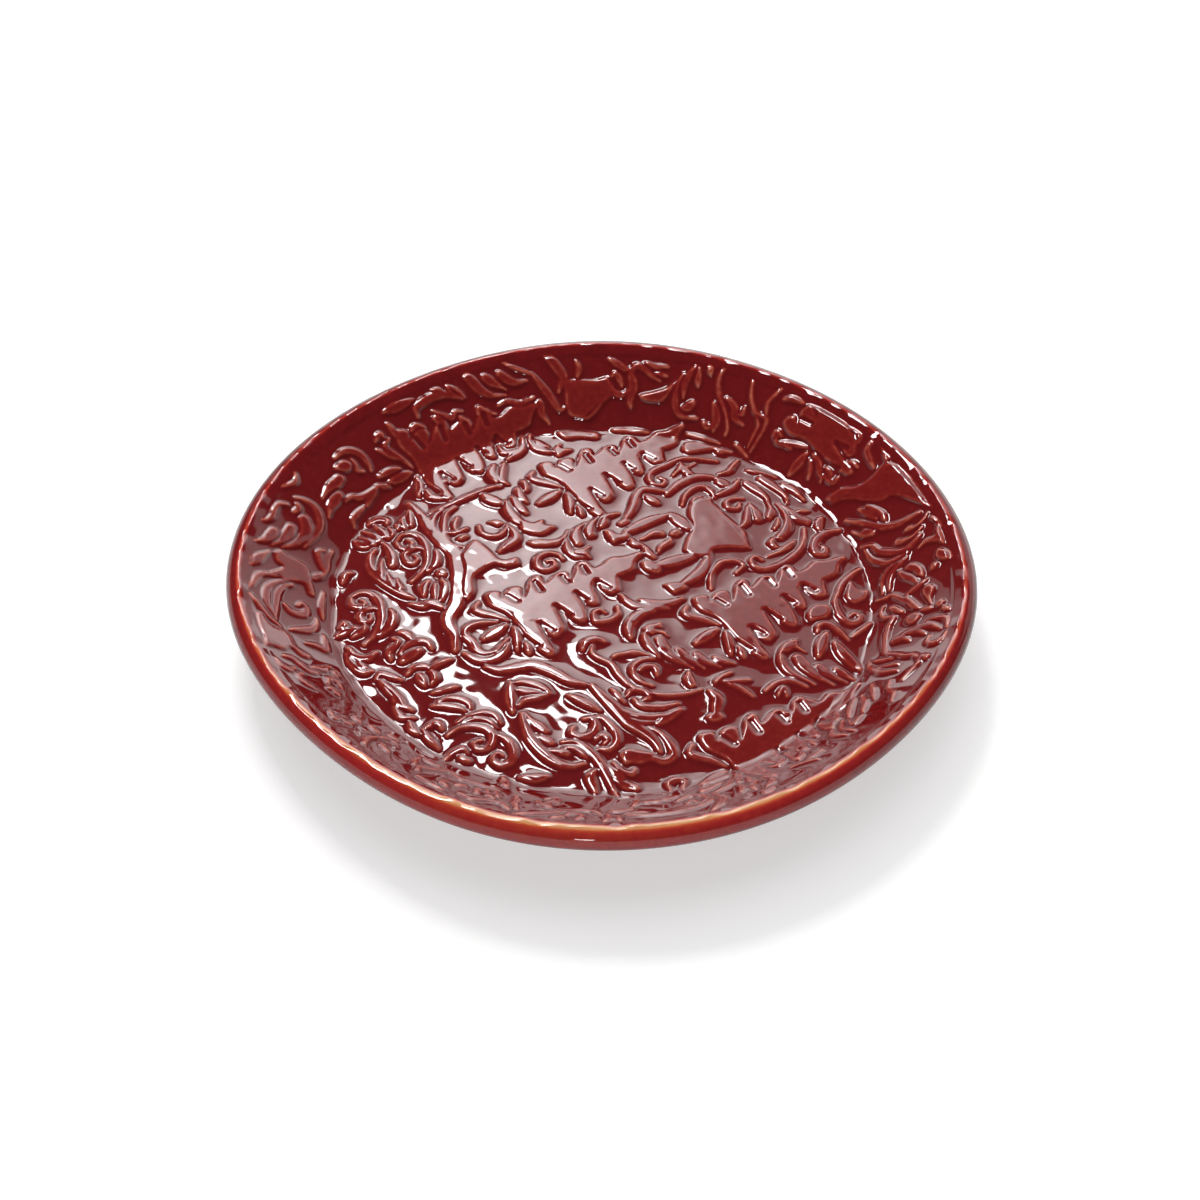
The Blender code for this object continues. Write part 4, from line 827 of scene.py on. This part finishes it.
drawOrnament()
raised -= carved * np.minimum(1, raised / emboss["height"] + emboss["groundCut"])
relief = blurred(raised, emboss["soften"])
thinness = relief - blurred(relief, emboss["breakWidth"]) + emboss["thinOnTop"] * relief
apron = emboss["apron"] * np.maximum(blurred(raised, emboss["apronWidth"]), 0)
power = emboss["apronBlend"]
relief = (np.maximum(relief, 0) ** power + apron ** power) ** (1 / power)
chance = np.random.default_rng(emboss["seed"])
for width, height in emboss["lumps"]:
    relief += height * lumpy(chance, width)
foldLumps = emboss["foldLumps"]
fromFold = np.hypot(cellPlaces[:, None], cellPlaces[None, :]) - (foldStart + foldEnd) / 2
band = np.exp(-(fromFold / foldLumps["band"]) ** 2)
relief += foldLumps["height"] * lumpy(chance, foldLumps["width"]) * band
print("ornament drawn, highest", round(float(relief.max()), 2), "mm")


def readGrid(field, x, y):
    # bilinear reading of a grid at slab places
    column = np.clip((x + emboss["reach"]) / emboss["cell"], 0, cellCount - 1.001)
    row = np.clip((y + emboss["reach"]) / emboss["cell"], 0, cellCount - 1.001)
    left = column.astype(int)
    low = row.astype(int)
    column -= left
    row -= low
    near = field[low, left] * (1 - column) + field[low, left + 1] * column
    far = field[low + 1, left] * (1 - column) + field[low + 1, left + 1] * column
    return near * (1 - row) + far * row


def faceLift(x, y):
    # ornament, sunk a little, and fading out just under the rim
    run = np.hypot(x, y)
    coatEnd = edgeStart - section["rimLap"]
    fade = 1 - smoothStep(coatEnd - emboss["fade"][0], coatEnd - emboss["fade"][1], run)
    smoothed = emboss["smoothed"]
    toSide = (smoothed["side"][0] * x + smoothed["side"][1] * y) / np.maximum(run, 1)
    onWall = smoothStep(foldStart - smoothed["below"], foldEnd + smoothed["above"], run)
    fade *= 1 - smoothed["share"] * smoothStep(smoothed["from"], smoothed["to"], toSide) * onWall
    return (readGrid(relief, x, y) - emboss["sink"]) * fade


def meshCoords(mesh):
    coords = np.empty(len(mesh.vertices) * 3)
    mesh.vertices.foreach_get("co", coords)
    return coords.reshape(-1, 3)


def setCoords(mesh, coords):
    mesh.vertices.foreach_set("co", coords.astype(np.float32).ravel())
    mesh.update()


def finishedPiece(name, mesh, material, node):
    piece = bpy.data.objects.new(name, mesh)
    bpy.context.scene.collection.objects.link(piece)
    mesh.materials.append(material)
    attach(piece, "root")
    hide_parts(node)
    print(name, "made,", sum(len(p.vertices) - 2 for p in mesh.polygons), "triangles")
    return piece


def pressOntoPlate(mesh):
    # the mesh is flat, its z is the lift above the face; only its upper side takes the ornament
    flat = meshCoords(mesh)
    x, y, z = flat.T
    upper = z > -coat / 2
    step = 0.12

    def place(px, py):
        return onSlab(px, py, np.where(upper, faceLift(px, py), z))

    alongX = place(x + step, y) - place(x - step, y)
    alongY = place(x, y + step) - place(x, y - step)
    normals = np.cross(alongX, alongY)
    normals /= np.linalg.norm(normals, axis=1)[:, None]
    setCoords(mesh, place(x, y))
    mesh.polygons.foreach_set("use_smooth", [True] * len(mesh.polygons))
    mesh.normals_split_custom_set_from_vertices(np.where(upper[:, None], normals, 0))
    setGlazeThinAndLit(mesh, np.where(upper, readGrid(thinness, x, y), 0))


well = {"rings": 180, "sides": 6}
wall = {"around": 1080, "up": 84}


def makeWell(material):
    bm = bmesh.new()
    bmesh.ops.create_circle(bm, cap_ends=True, cap_tris=True, segments=well["sides"], radius=1)
    bmesh.ops.subdivide_edges(bm, edges=bm.edges[:], cuts=well["rings"] - 1, use_grid_fill=True)
    rimEdges = [e for e in bm.edges if e.is_boundary]
    lowered = bmesh.ops.extrude_edge_only(bm, edges=rimEdges)["geom"]
    lowVerts = [v for v in lowered if isinstance(v, bmesh.types.BMVert)]
    bmesh.ops.translate(bm, verts=lowVerts, vec=(0, 0, -coat))
    lowEdges = [e for e in lowered if isinstance(e, bmesh.types.BMEdge) and e.is_boundary]
    bmesh.ops.edgeloop_fill(bm, edges=lowEdges)
    bmesh.ops.recalc_face_normals(bm, faces=bm.faces)
    mesh = bpy.data.meshes.new("wellGlaze")
    bm.to_mesh(mesh)
    bm.free()
    # the six-sided fan becomes round: each ring of it is a circle, evenly divided
    flat = meshCoords(mesh)
    side = 2 * math.pi / well["sides"]
    sector = np.floor(np.arctan2(flat[:, 1], flat[:, 0]) / side - 0.5 + 1e-6)
    first = (sector + 0.5) * side
    across = flat[:, 1] * np.cos(first) - flat[:, 0] * np.sin(first)
    onNext = across / math.sin(side)
    onFirst = flat[:, 0] * np.cos(first) + flat[:, 1] * np.sin(first) - onNext * math.cos(side)
    ring = onFirst + onNext
    angle = first + onNext / np.maximum(ring, 1e-9) * side
    flat[:, 0] = ring * foldStart * np.cos(angle)
    flat[:, 1] = ring * foldStart * np.sin(angle)
    setCoords(mesh, flat)
    pressOntoPlate(mesh)
    return finishedPiece("wellGlaze", mesh, material, "face_glaze")


def spunMesh(name, profile, steps, closed=True):
    # a strip of the section, bent round into a ring about Z; x and y of the section are radius and height
    line = [*profile, profile[0]] if closed else list(profile)
    bm = bmesh.new()
    bmesh.ops.create_grid(bm, x_segments=steps, y_segments=len(line) - 1, size=0.5)
    for vert in bm.verts:
        radius, height = line[round((vert.co.y + 0.5) * (len(line) - 1))]
        angle = round((vert.co.x + 0.5) * steps) / steps * 2 * math.pi
        vert.co = (radius * math.cos(angle), radius * math.sin(angle), height)
    bmesh.ops.remove_doubles(bm, verts=bm.verts, dist=0.0005)
    bmesh.ops.recalc_face_normals(bm, faces=bm.faces)
    mesh = bpy.data.meshes.new(name)
    bm.to_mesh(mesh)
    bm.free()
    return mesh


def makeWall(material):
    end = edgeStart - section["rimLap"]
    runs = [foldStart + (end - foldStart) * k / wall["up"] for k in range(wall["up"] + 1)]
    below = [foldStart, foldStart + (foldEnd - foldStart) / 2, foldEnd, end]
    profile = [(run, 0) for run in runs] + [(run, -coat) for run in reversed(below)]
    mesh = spunMesh("wallGlaze", profile, wall["around"])
    pressOntoPlate(mesh)
    return finishedPiece("wallGlaze", mesh, material, "face_glaze")


def arcPoints(radius, start, end, count):
    # part of a circle about the middle of the rounded edge
    angles = [start + (end - start) * k / count for k in range(count + 1)]
    return [(edgeR + radius * math.cos(a), edgeZ + radius * math.sin(a)) for a in angles]


# stores per point how thin the glaze lies, and on the rim's edge also its painted light in front
def setGlazeThinAndLit(mesh, values):
    thinAndLit = mesh.attributes.new("glazeThinAndLit", "FLOAT", "POINT")
    thinAndLit.data.foreach_set("value", values.astype(np.float32))


def shadeSmooth(mesh):
    mesh.polygons.foreach_set("use_smooth", [True] * len(mesh.polygons))
    mesh.set_sharp_from_angle(angle=math.radians(35))


# the coat over the edge runs thin along its crest and turns orange and tan there; making this stronger and
# wider in front, and lightening the outer face in front, is painted light
edge = {
    "around": 720,
    "arcSteps": 30,
    "crest": 96.0,  # degrees round the edge, from straight out
    "crestWidth": 17.0,
    "front": -95.0,  # degrees round the plate, where the painted light on the edge is strongest
    "frontPower": 3,
    "behind": 0.4,  # share of the crest's width, thinness and painted light that is left at the back
    # the outer face is painted lighter in front: partly the glaze running thin over the edge, partly painted
    # light
    "outside": {"from": -70.0, "full": 20.0, "fade": 85.0, "to": 120.0, "thinAndLit": 0.3},
    "waves": ((23, 40, 0.10), (41, 200, 0.12), (67, 310, 0.10), (97, 15, 0.06)),
    "wavesMiddle": 110.0,
    "wavesWidth": 22.0,
}


def makeEdge(material):
    start = slope + math.pi / 2
    end = slope - math.pi / 2

    def lapped(point):
        lap = section["rimLap"]
        return point[0] - lap * math.cos(slope), point[1] - lap * math.sin(slope)

    def side(offset):
        turn = arcPoints(offset, start, end, edge["arcSteps"])
        return [lapped(turn[0]), *turn, lapped(turn[-1])]

    profile = side(section["coatOutside"]) + side(section["coatInside"])[::-1]
    mesh = spunMesh("edgeGlaze", profile, edge["around"])
    x, y, z = meshCoords(mesh).T
    radius = np.hypot(x, y)
    angle = np.arctan2(y, x)
    turn = np.degrees(np.arctan2(z - edgeZ, radius - edgeR))
    out = edge["outside"]
    outer = smoothStep(out["from"], out["full"], turn) * (1 - smoothStep(out["fade"], out["to"], turn))
    # painted light: the crest and the outer face get lighter towards the front
    front = (0.5 + 0.5 * np.cos(angle - math.radians(edge["front"]))) ** edge["frontPower"]
    share = edge["behind"] + (1 - edge["behind"]) * front
    crest = np.exp(-((turn - edge["crest"]) / (edge["crestWidth"] * share)) ** 2)
    setGlazeThinAndLit(mesh, crest * share + out["thinAndLit"] * outer * front)
    # the ornament under the glaze makes the inside of the edge uneven
    push = wavesAt(edge["waves"], angle) * np.exp(-((turn - edge["wavesMiddle"]) / edge["wavesWidth"]) ** 2)
    radius = radius + push * np.cos(np.radians(turn))
    z = z + push * np.sin(np.radians(turn))
    setCoords(mesh, byHand(radius, angle, z))
    shadeSmooth(mesh)
    return finishedPiece("edgeGlaze", mesh, material, "rim_glaze")


# the rest of the section, as places along the slab and distances from its face
under = {
    "around": 360,
    "foldSteps": 10,
    "wallSteps": 6,
    "edgeSteps": 12,
    "backFrom": 70.2,
    "baseTo": 59.8,
}
# the foot in true radius and height; its corner is in shares of the ease, out from the tread's edge and up
foot = {
    "middle": 65.0,
    "width": 8.0,
    "top": 5.5,
    "shoulder": (0.5, 4.0),
    "tread": 4.5,
    "ease": 0.9,
    "corner": ((0.7, 1.1), (0.3, 0.4), (-0.2, 0.08), (-1.0, 0.0)),
}


def bentPiece(name, profile, closed, material, node):
    mesh = spunMesh(name, profile, under["around"], closed)
    x, y, z = meshCoords(mesh).T
    setCoords(mesh, onSlab(x, y, z))
    shadeSmooth(mesh)
    return finishedPiece(name, mesh, material, node)


def alongSlab(start, end, lift):
    foldSteps = under["foldSteps"]
    wallSteps = under["wallSteps"]
    fold = [foldStart + (foldEnd - foldStart) * k / foldSteps for k in range(foldSteps + 1)]
    wallRuns = [foldEnd + (end - foldEnd) * k / wallSteps for k in range(1, wallSteps + 1)]
    return [(run, lift) for run in (start, *fold, *wallRuns)]


def makeBack(material):
    end = edgeStart - section["rimLap"]
    inner = -section["coatOutside"] - section["coatInside"]
    upper = alongSlab(under["backFrom"], end, inner)
    lower = alongSlab(under["backFrom"], end, inner - coat)
    profile = upper + lower[::-1]
    return bentPiece("backGlaze", profile, True, material, "back_glaze")


def makeBase(material):
    inner = -section["coatOutside"] - section["coatInside"]
    runs = (0, under["baseTo"] / 2, under["baseTo"])
    profile = [(run, inner) for run in runs] + [(run, inner - coat) for run in reversed(runs)]
    return bentPiece("baseGlaze", profile, False, material, "base_glaze")


def makeSlab(material):
    top = section["halfClay"] - section["coatOutside"]
    bottom = -section["halfClay"] - section["coatOutside"]
    above = [(0, top), *alongSlab(foldStart / 2, edgeStart, top)]
    below = [*alongSlab(foldStart / 2, edgeStart, bottom)[::-1], (0, bottom)]
    middle = (top + bottom) / 2
    half = section["halfClay"]
    angles = [math.pi * k / under["edgeSteps"] for k in range(1, under["edgeSteps"])]
    turn = [(edgeStart + half * math.sin(a), middle + half * math.cos(a)) for a in angles]
    return bentPiece("claySlab", above + turn + below, False, material, "clay_slab")


def makeFoot(material):
    half = foot["width"] / 2
    tread = foot["tread"] / 2
    ease = foot["ease"]
    middle = foot["middle"]
    outer = [(half, foot["top"]), (half - foot["shoulder"][0], foot["shoulder"][1])]
    outer += [(tread + ease * out, ease * up) for out, up in foot["corner"]]
    profile = [(middle + r, z) for r, z in outer] + [(middle - r, z) for r, z in reversed(outer)]
    mesh = spunMesh("footRing", profile, under["around"])
    setCoords(mesh, meshCoords(mesh) * mm)
    shadeSmooth(mesh)
    return finishedPiece("footRing", mesh, material, "foot_ring")


def newMaterial(name):
    material = bpy.data.materials.new(name)
    material.use_nodes = True
    nodes = material.node_tree.nodes
    return material, nodes, material.node_tree.links, nodes["Principled BSDF"]


def noiseOf(nodes, links, scale, detail):
    place = nodes.new("ShaderNodeTexCoord")
    noise = nodes.new("ShaderNodeTexNoise")
    noise.inputs["Scale"].default_value = scale
    noise.inputs["Detail"].default_value = detail
    links.new(place.outputs["Object"], noise.inputs["Vector"])
    return noise.outputs["Fac"]


def mapped(nodes, links, source, low, high, toLow, toHigh):
    node = nodes.new("ShaderNodeMapRange")
    for socket, value in (("From Min", low), ("From Max", high), ("To Min", toLow), ("To Max", toHigh)):
        node.inputs[socket].default_value = value
    links.new(source, node.inputs["Value"])
    return node.outputs["Result"]


def added(nodes, links, first, second):
    node = nodes.new("ShaderNodeMath")
    node.operation = "ADD"
    links.new(first, node.inputs[0])
    links.new(second, node.inputs[1])
    return node.outputs["Value"]


def ramped(nodes, links, source, stops):
    ramp = nodes.new("ShaderNodeValToRGB")
    elements = ramp.color_ramp.elements
    for element, (place, colour) in zip(elements, stops[:2]):
        element.position = place
        element.color = (*colour, 1)
    for place, colour in stops[2:]:
        elements.new(place).color = (*colour, 1)
    links.new(source, ramp.inputs["Fac"])
    return ramp.outputs["Color"]


# colours of the glaze from its thickest, in hollows, to its thinnest, on edges; on the rim's edge the
# lighter colours also carry painted light in front
glaze = {
    "face": (
        (0.0, (0.075, 0.003, 0.004)), (1.0, (0.66, 0.25, 0.165)),
        (0.61, (0.135, 0.005, 0.006)), (0.74, (0.225, 0.016, 0.012)), (0.88, (0.43, 0.10, 0.06)),
    ),
    "edge": (
        (0.0, (0.135, 0.005, 0.006)), (1.0, (0.60, 0.28, 0.12)),
        (0.25, (0.33, 0.016, 0.016)), (0.5, (0.47, 0.06, 0.025)), (0.75, (0.55, 0.17, 0.06)),
    ),
    "faceRange": (-0.25, 0.16),  # thinness at the first and the last colour
    "edgeRange": (0.0, 1.0),
    "mottle": 0.10,
    "mottleScale": 500,
    "roughness": 0.035,
    "ior": 1.5,
}
backCoat = {
    "red": (0.16, 0.014, 0.010),
    "deep": 0.7,
    "bright": 1.25,
    "cloudScale": 60,
    "roughness": (0.08, 0.16),
}
bareClay = {
    "light": (0.60, 0.41, 0.27),
    "dark": (0.42, 0.26, 0.16),
    "grainScale": 900,
    "grainDepth": 0.0002,
    "roughness": 0.85,
}


def glazeMaterial(name, stops, thick, thinnest):
    material, nodes, links, shader = newMaterial(name)
    # the attribute holds the glaze's thinness, and on the rim's edge painted light in front as well
    thinAndLit = nodes.new("ShaderNodeAttribute")
    thinAndLit.attribute_name = "glazeThinAndLit"
    spread = mapped(nodes, links, thinAndLit.outputs["Fac"], thick, thinnest, 0, 1)
    half = glaze["mottle"] / 2
    mottle = mapped(nodes, links, noiseOf(nodes, links, glaze["mottleScale"], 3), 0.2, 0.8, -half, half)
    colour = ramped(nodes, links, added(nodes, links, spread, mottle), stops)
    links.new(colour, shader.inputs["Base Color"])
    shader.inputs["Roughness"].default_value = glaze["roughness"]
    shader.inputs["IOR"].default_value = glaze["ior"]
    return material


def backMaterial():
    material, nodes, links, shader = newMaterial("backGlaze")
    cloud = noiseOf(nodes, links, backCoat["cloudScale"], 4)
    deep = tuple(backCoat["deep"] * c for c in backCoat["red"])
    bright = tuple(backCoat["bright"] * c for c in backCoat["red"])
    links.new(ramped(nodes, links, cloud, ((0.3, deep), (0.7, bright))), shader.inputs["Base Color"])
    haze = mapped(nodes, links, noiseOf(nodes, links, 300, 2), 0.3, 0.7, *backCoat["roughness"])
    links.new(haze, shader.inputs["Roughness"])
    shader.inputs["IOR"].default_value = glaze["ior"]
    return material


def clayMaterial():
    material, nodes, links, shader = newMaterial("bareClay")
    grain = noiseOf(nodes, links, bareClay["grainScale"], 6)
    colour = ramped(nodes, links, grain, ((0.3, bareClay["dark"]), (0.65, bareClay["light"])))
    links.new(colour, shader.inputs["Base Color"])
    bump = nodes.new("ShaderNodeBump")
    bump.inputs["Strength"].default_value = 0.3
    bump.inputs["Distance"].default_value = bareClay["grainDepth"]
    links.new(grain, bump.inputs["Height"])
    links.new(bump.outputs["Normal"], shader.inputs["Normal"])
    shader.inputs["Roughness"].default_value = bareClay["roughness"]
    return material


redGlaze = glazeMaterial("redGlaze", glaze["face"], *glaze["faceRange"])
edgeGlaze = glazeMaterial("edgeGlaze", glaze["edge"], *glaze["edgeRange"])
redBack = backMaterial()
clay = clayMaterial()
makeWell(redGlaze)
makeWall(redGlaze)
makeEdge(edgeGlaze)
makeBack(redBack)
makeBase(redBack)
makeSlab(clay)
makeFoot(clay)


# the camera as fitted to the photo's outline; its shift is in pixels of a picture 1200 wide
photoView = {
    "elevation": 42.03,
    "distance": 0.5988,
    "roll": -0.75,
    "lens": 59.83,
    "sensor": 36.0,
    "shiftX": -2.6 / 1200,
    "shiftY": -6.1 / 1200,
}


def makeCamera():
    data = bpy.data.cameras.new("photoCamera")
    data.lens = photoView["lens"]
    data.sensor_width = photoView["sensor"]
    data.shift_x = photoView["shiftX"]
    data.shift_y = photoView["shiftY"]
    data.clip_start = 0.01
    camera = bpy.data.objects.new("photoCamera", data)
    bpy.context.scene.collection.objects.link(camera)
    lift = math.radians(photoView["elevation"])
    away = Vector((0, -math.cos(lift), math.sin(lift)))
    camera.rotation_mode = "QUATERNION"
    camera.location = Vector((0, 0, faceZ * mm)) + away * photoView["distance"]
    look = (-away).to_track_quat("-Z", "Y")
    roll = Matrix.Rotation(math.radians(-photoView["roll"]), 3, "Z").to_quaternion()
    camera.rotation_quaternion = look @ roll
    bpy.context.scene.camera = camera


makeCamera()
print("camera placed")


# white paper that glows for the camera and in reflections, less so round the plate, to hold its shadow
stage = {
    "paper": (0.6, 0.6, 0.6, 1),
    "roughness": 0.9,
    "nearGlow": 0.5,
    "glow": 1.0,
    "near": 0.7,
    "far": 2.4,
    "floorHalf": 6.0,
    "backdropRadius": 5.9,
    "backdropDepth": 2.4,
}


def stagePiece(name, bm, nearGlow):
    mesh = bpy.data.meshes.new(name)
    bm.to_mesh(mesh)
    bm.free()
    piece = bpy.data.objects.new(name, mesh)
    bpy.context.scene.collection.objects.link(piece)
    paper, nodes, links, shader = newMaterial(name + "Paper")
    shader.inputs["Base Color"].default_value = stage["paper"]
    shader.inputs["Roughness"].default_value = stage["roughness"]
    shader.inputs["Emission Color"].default_value = (1, 1, 1, 1)
    path = nodes.new("ShaderNodeLightPath")
    seen = added(nodes, links, path.outputs["Is Camera Ray"], path.outputs["Is Glossy Ray"])
    seen = added(nodes, links, seen, path.outputs["Is Transmission Ray"])
    place = nodes.new("ShaderNodeTexCoord")
    away = nodes.new("ShaderNodeVectorMath")
    away.operation = "LENGTH"
    links.new(place.outputs["Object"], away.inputs[0])
    glow = nodes.new("ShaderNodeMath")
    glow.operation = "MULTIPLY"
    reach = away.outputs["Value"]
    rising = mapped(nodes, links, reach, stage["near"], stage["far"], nearGlow, stage["glow"])
    links.new(rising, glow.inputs[0])
    links.new(seen, glow.inputs[1])
    links.new(glow.outputs["Value"], shader.inputs["Emission Strength"])
    mesh.materials.append(paper)


def makeStage():
    bm = bmesh.new()
    bmesh.ops.create_grid(bm, x_segments=1, y_segments=1, size=stage["floorHalf"])
    stagePiece("floor", bm, stage["nearGlow"])
    bm = bmesh.new()
    radius = stage["backdropRadius"]
    bmesh.ops.create_cone(bm, segments=96, radius1=radius, radius2=radius, depth=stage["backdropDepth"])
    stagePiece("backdrop", bm, stage["glow"])


# lamps by their direction from the plate, in degrees: turn to the right of straight behind it, and height
# a panel glows at its spot, in shares of its size, and falls off over its spread to its low radiance
studio = {
    "world": 0.08,
    "panels": {
        "backPanel": {
            "turn": 3.0, "height": 29.5, "wide": 20.0, "tall": 30.0, "away": 1.6,
            "spot": (0.84, 0.88), "spread": (0.5, 0.65), "radiance": 8.8, "low": 1.5,
        },
        "lowPanel": {
            "turn": 16.0, "height": 18.5, "wide": 80.0, "tall": 37.0, "away": 1.9,
            "spot": (0.6, 0.4), "spread": (0.6, 0.9), "radiance": 1.5, "low": 0.6,
        },
        "brightStrip": {
            "turn": -5.2, "height": 45.1, "wide": 1.9, "tall": 9.5, "tilt": 38.0, "away": 1.55,
            "spot": (0.5, 0.5), "spread": (1.0, 1.0), "radiance": 30.0, "low": 20.0,
        },
        "frontLamp": {
            "turn": 184.0, "height": 22.0, "wide": 5.0, "tall": 8.0, "away": 1.5,
            "spot": (0.5, 0.5), "spread": (1.0, 1.0), "radiance": 20.0, "low": 10.0,
        },
        "highLamp": {
            "turn": -22.0, "height": 55.0, "wide": 16.0, "tall": 10.0, "away": 1.7,
            "spot": (0.5, 0.5), "spread": (2.0, 2.0), "radiance": 32.0, "low": 24.0,
        },
    },
    "fills": {
        "topFill": {"place": (-0.1, 0.35, 1.75), "size": 1.8, "radiance": 1.5},
        "frontFill": {"place": (-0.3, -1.5, 0.75), "size": 1.5, "radiance": 1.3},
    },
}


def direction(turn, height):
    turn = math.radians(turn)
    height = math.radians(height)
    return Vector((math.cos(height) * math.sin(turn), math.cos(height) * math.cos(turn), math.sin(height)))


def softBox(name, place, width, height, radiance, tilt=0.0, glossy=True):
    data = bpy.data.lights.new(name, "AREA")
    data.shape = "RECTANGLE"
    data.size = width
    data.size_y = height
    data.energy = radiance * math.pi * width * height
    lamp = bpy.data.objects.new(name, data)
    lamp.location = place
    lamp.rotation_mode = "QUATERNION"
    facing = (Vector((0, 0, faceZ * mm)) - Vector(place)).to_track_quat("-Z", "Y")
    lamp.rotation_quaternion = facing @ Matrix.Rotation(math.radians(tilt), 3, "Z").to_quaternion()
    lamp.visible_glossy = glossy
    bpy.context.scene.collection.objects.link(lamp)
    return data


def panelLamp(name, lamp):
    away = lamp["away"]
    place = direction(lamp["turn"], lamp["height"]) * away + Vector((0, 0, faceZ * mm))
    width = 2 * away * math.tan(math.radians(lamp["wide"] / 2))
    height = 2 * away * math.tan(math.radians(lamp["tall"] / 2))
    data = softBox(name, place, width, height, 1.0, lamp.get("tilt", 0.0))
    data.use_nodes = True
    nodes = data.node_tree.nodes
    links = data.node_tree.links
    cloth = nodes.new("ShaderNodeNewGeometry")
    shift = nodes.new("ShaderNodeVectorMath")
    shift.operation = "SUBTRACT"
    shift.inputs[1].default_value = (*lamp["spot"], 0)
    links.new(cloth.outputs["Parametric"], shift.inputs[0])
    spread = nodes.new("ShaderNodeVectorMath")
    spread.operation = "DIVIDE"
    spread.inputs[1].default_value = (*lamp["spread"], 1)
    links.new(shift.outputs["Vector"], spread.inputs[0])
    far = nodes.new("ShaderNodeVectorMath")
    far.operation = "LENGTH"
    links.new(spread.outputs["Vector"], far.inputs[0])
    glow = mapped(nodes, links, far.outputs["Value"], 0, 1, lamp["radiance"], lamp["low"])
    links.new(glow, nodes["Emission"].inputs["Strength"])


def makeLight():
    world = bpy.data.worlds.new("studio")
    world.use_nodes = True
    background = world.node_tree.nodes["Background"]
    background.inputs["Color"].default_value = (studio["world"], studio["world"], studio["world"], 1)
    bpy.context.scene.world = world
    for name, lamp in studio["panels"].items():
        panelLamp(name, lamp)
    for name, fill in studio["fills"].items():
        softBox(name, fill["place"], fill["size"], fill["size"], fill["radiance"], glossy=False)


makeStage()
makeLight()
print("stage and lamps placed")
bpy.context.scene.view_settings.view_transform = "Standard"
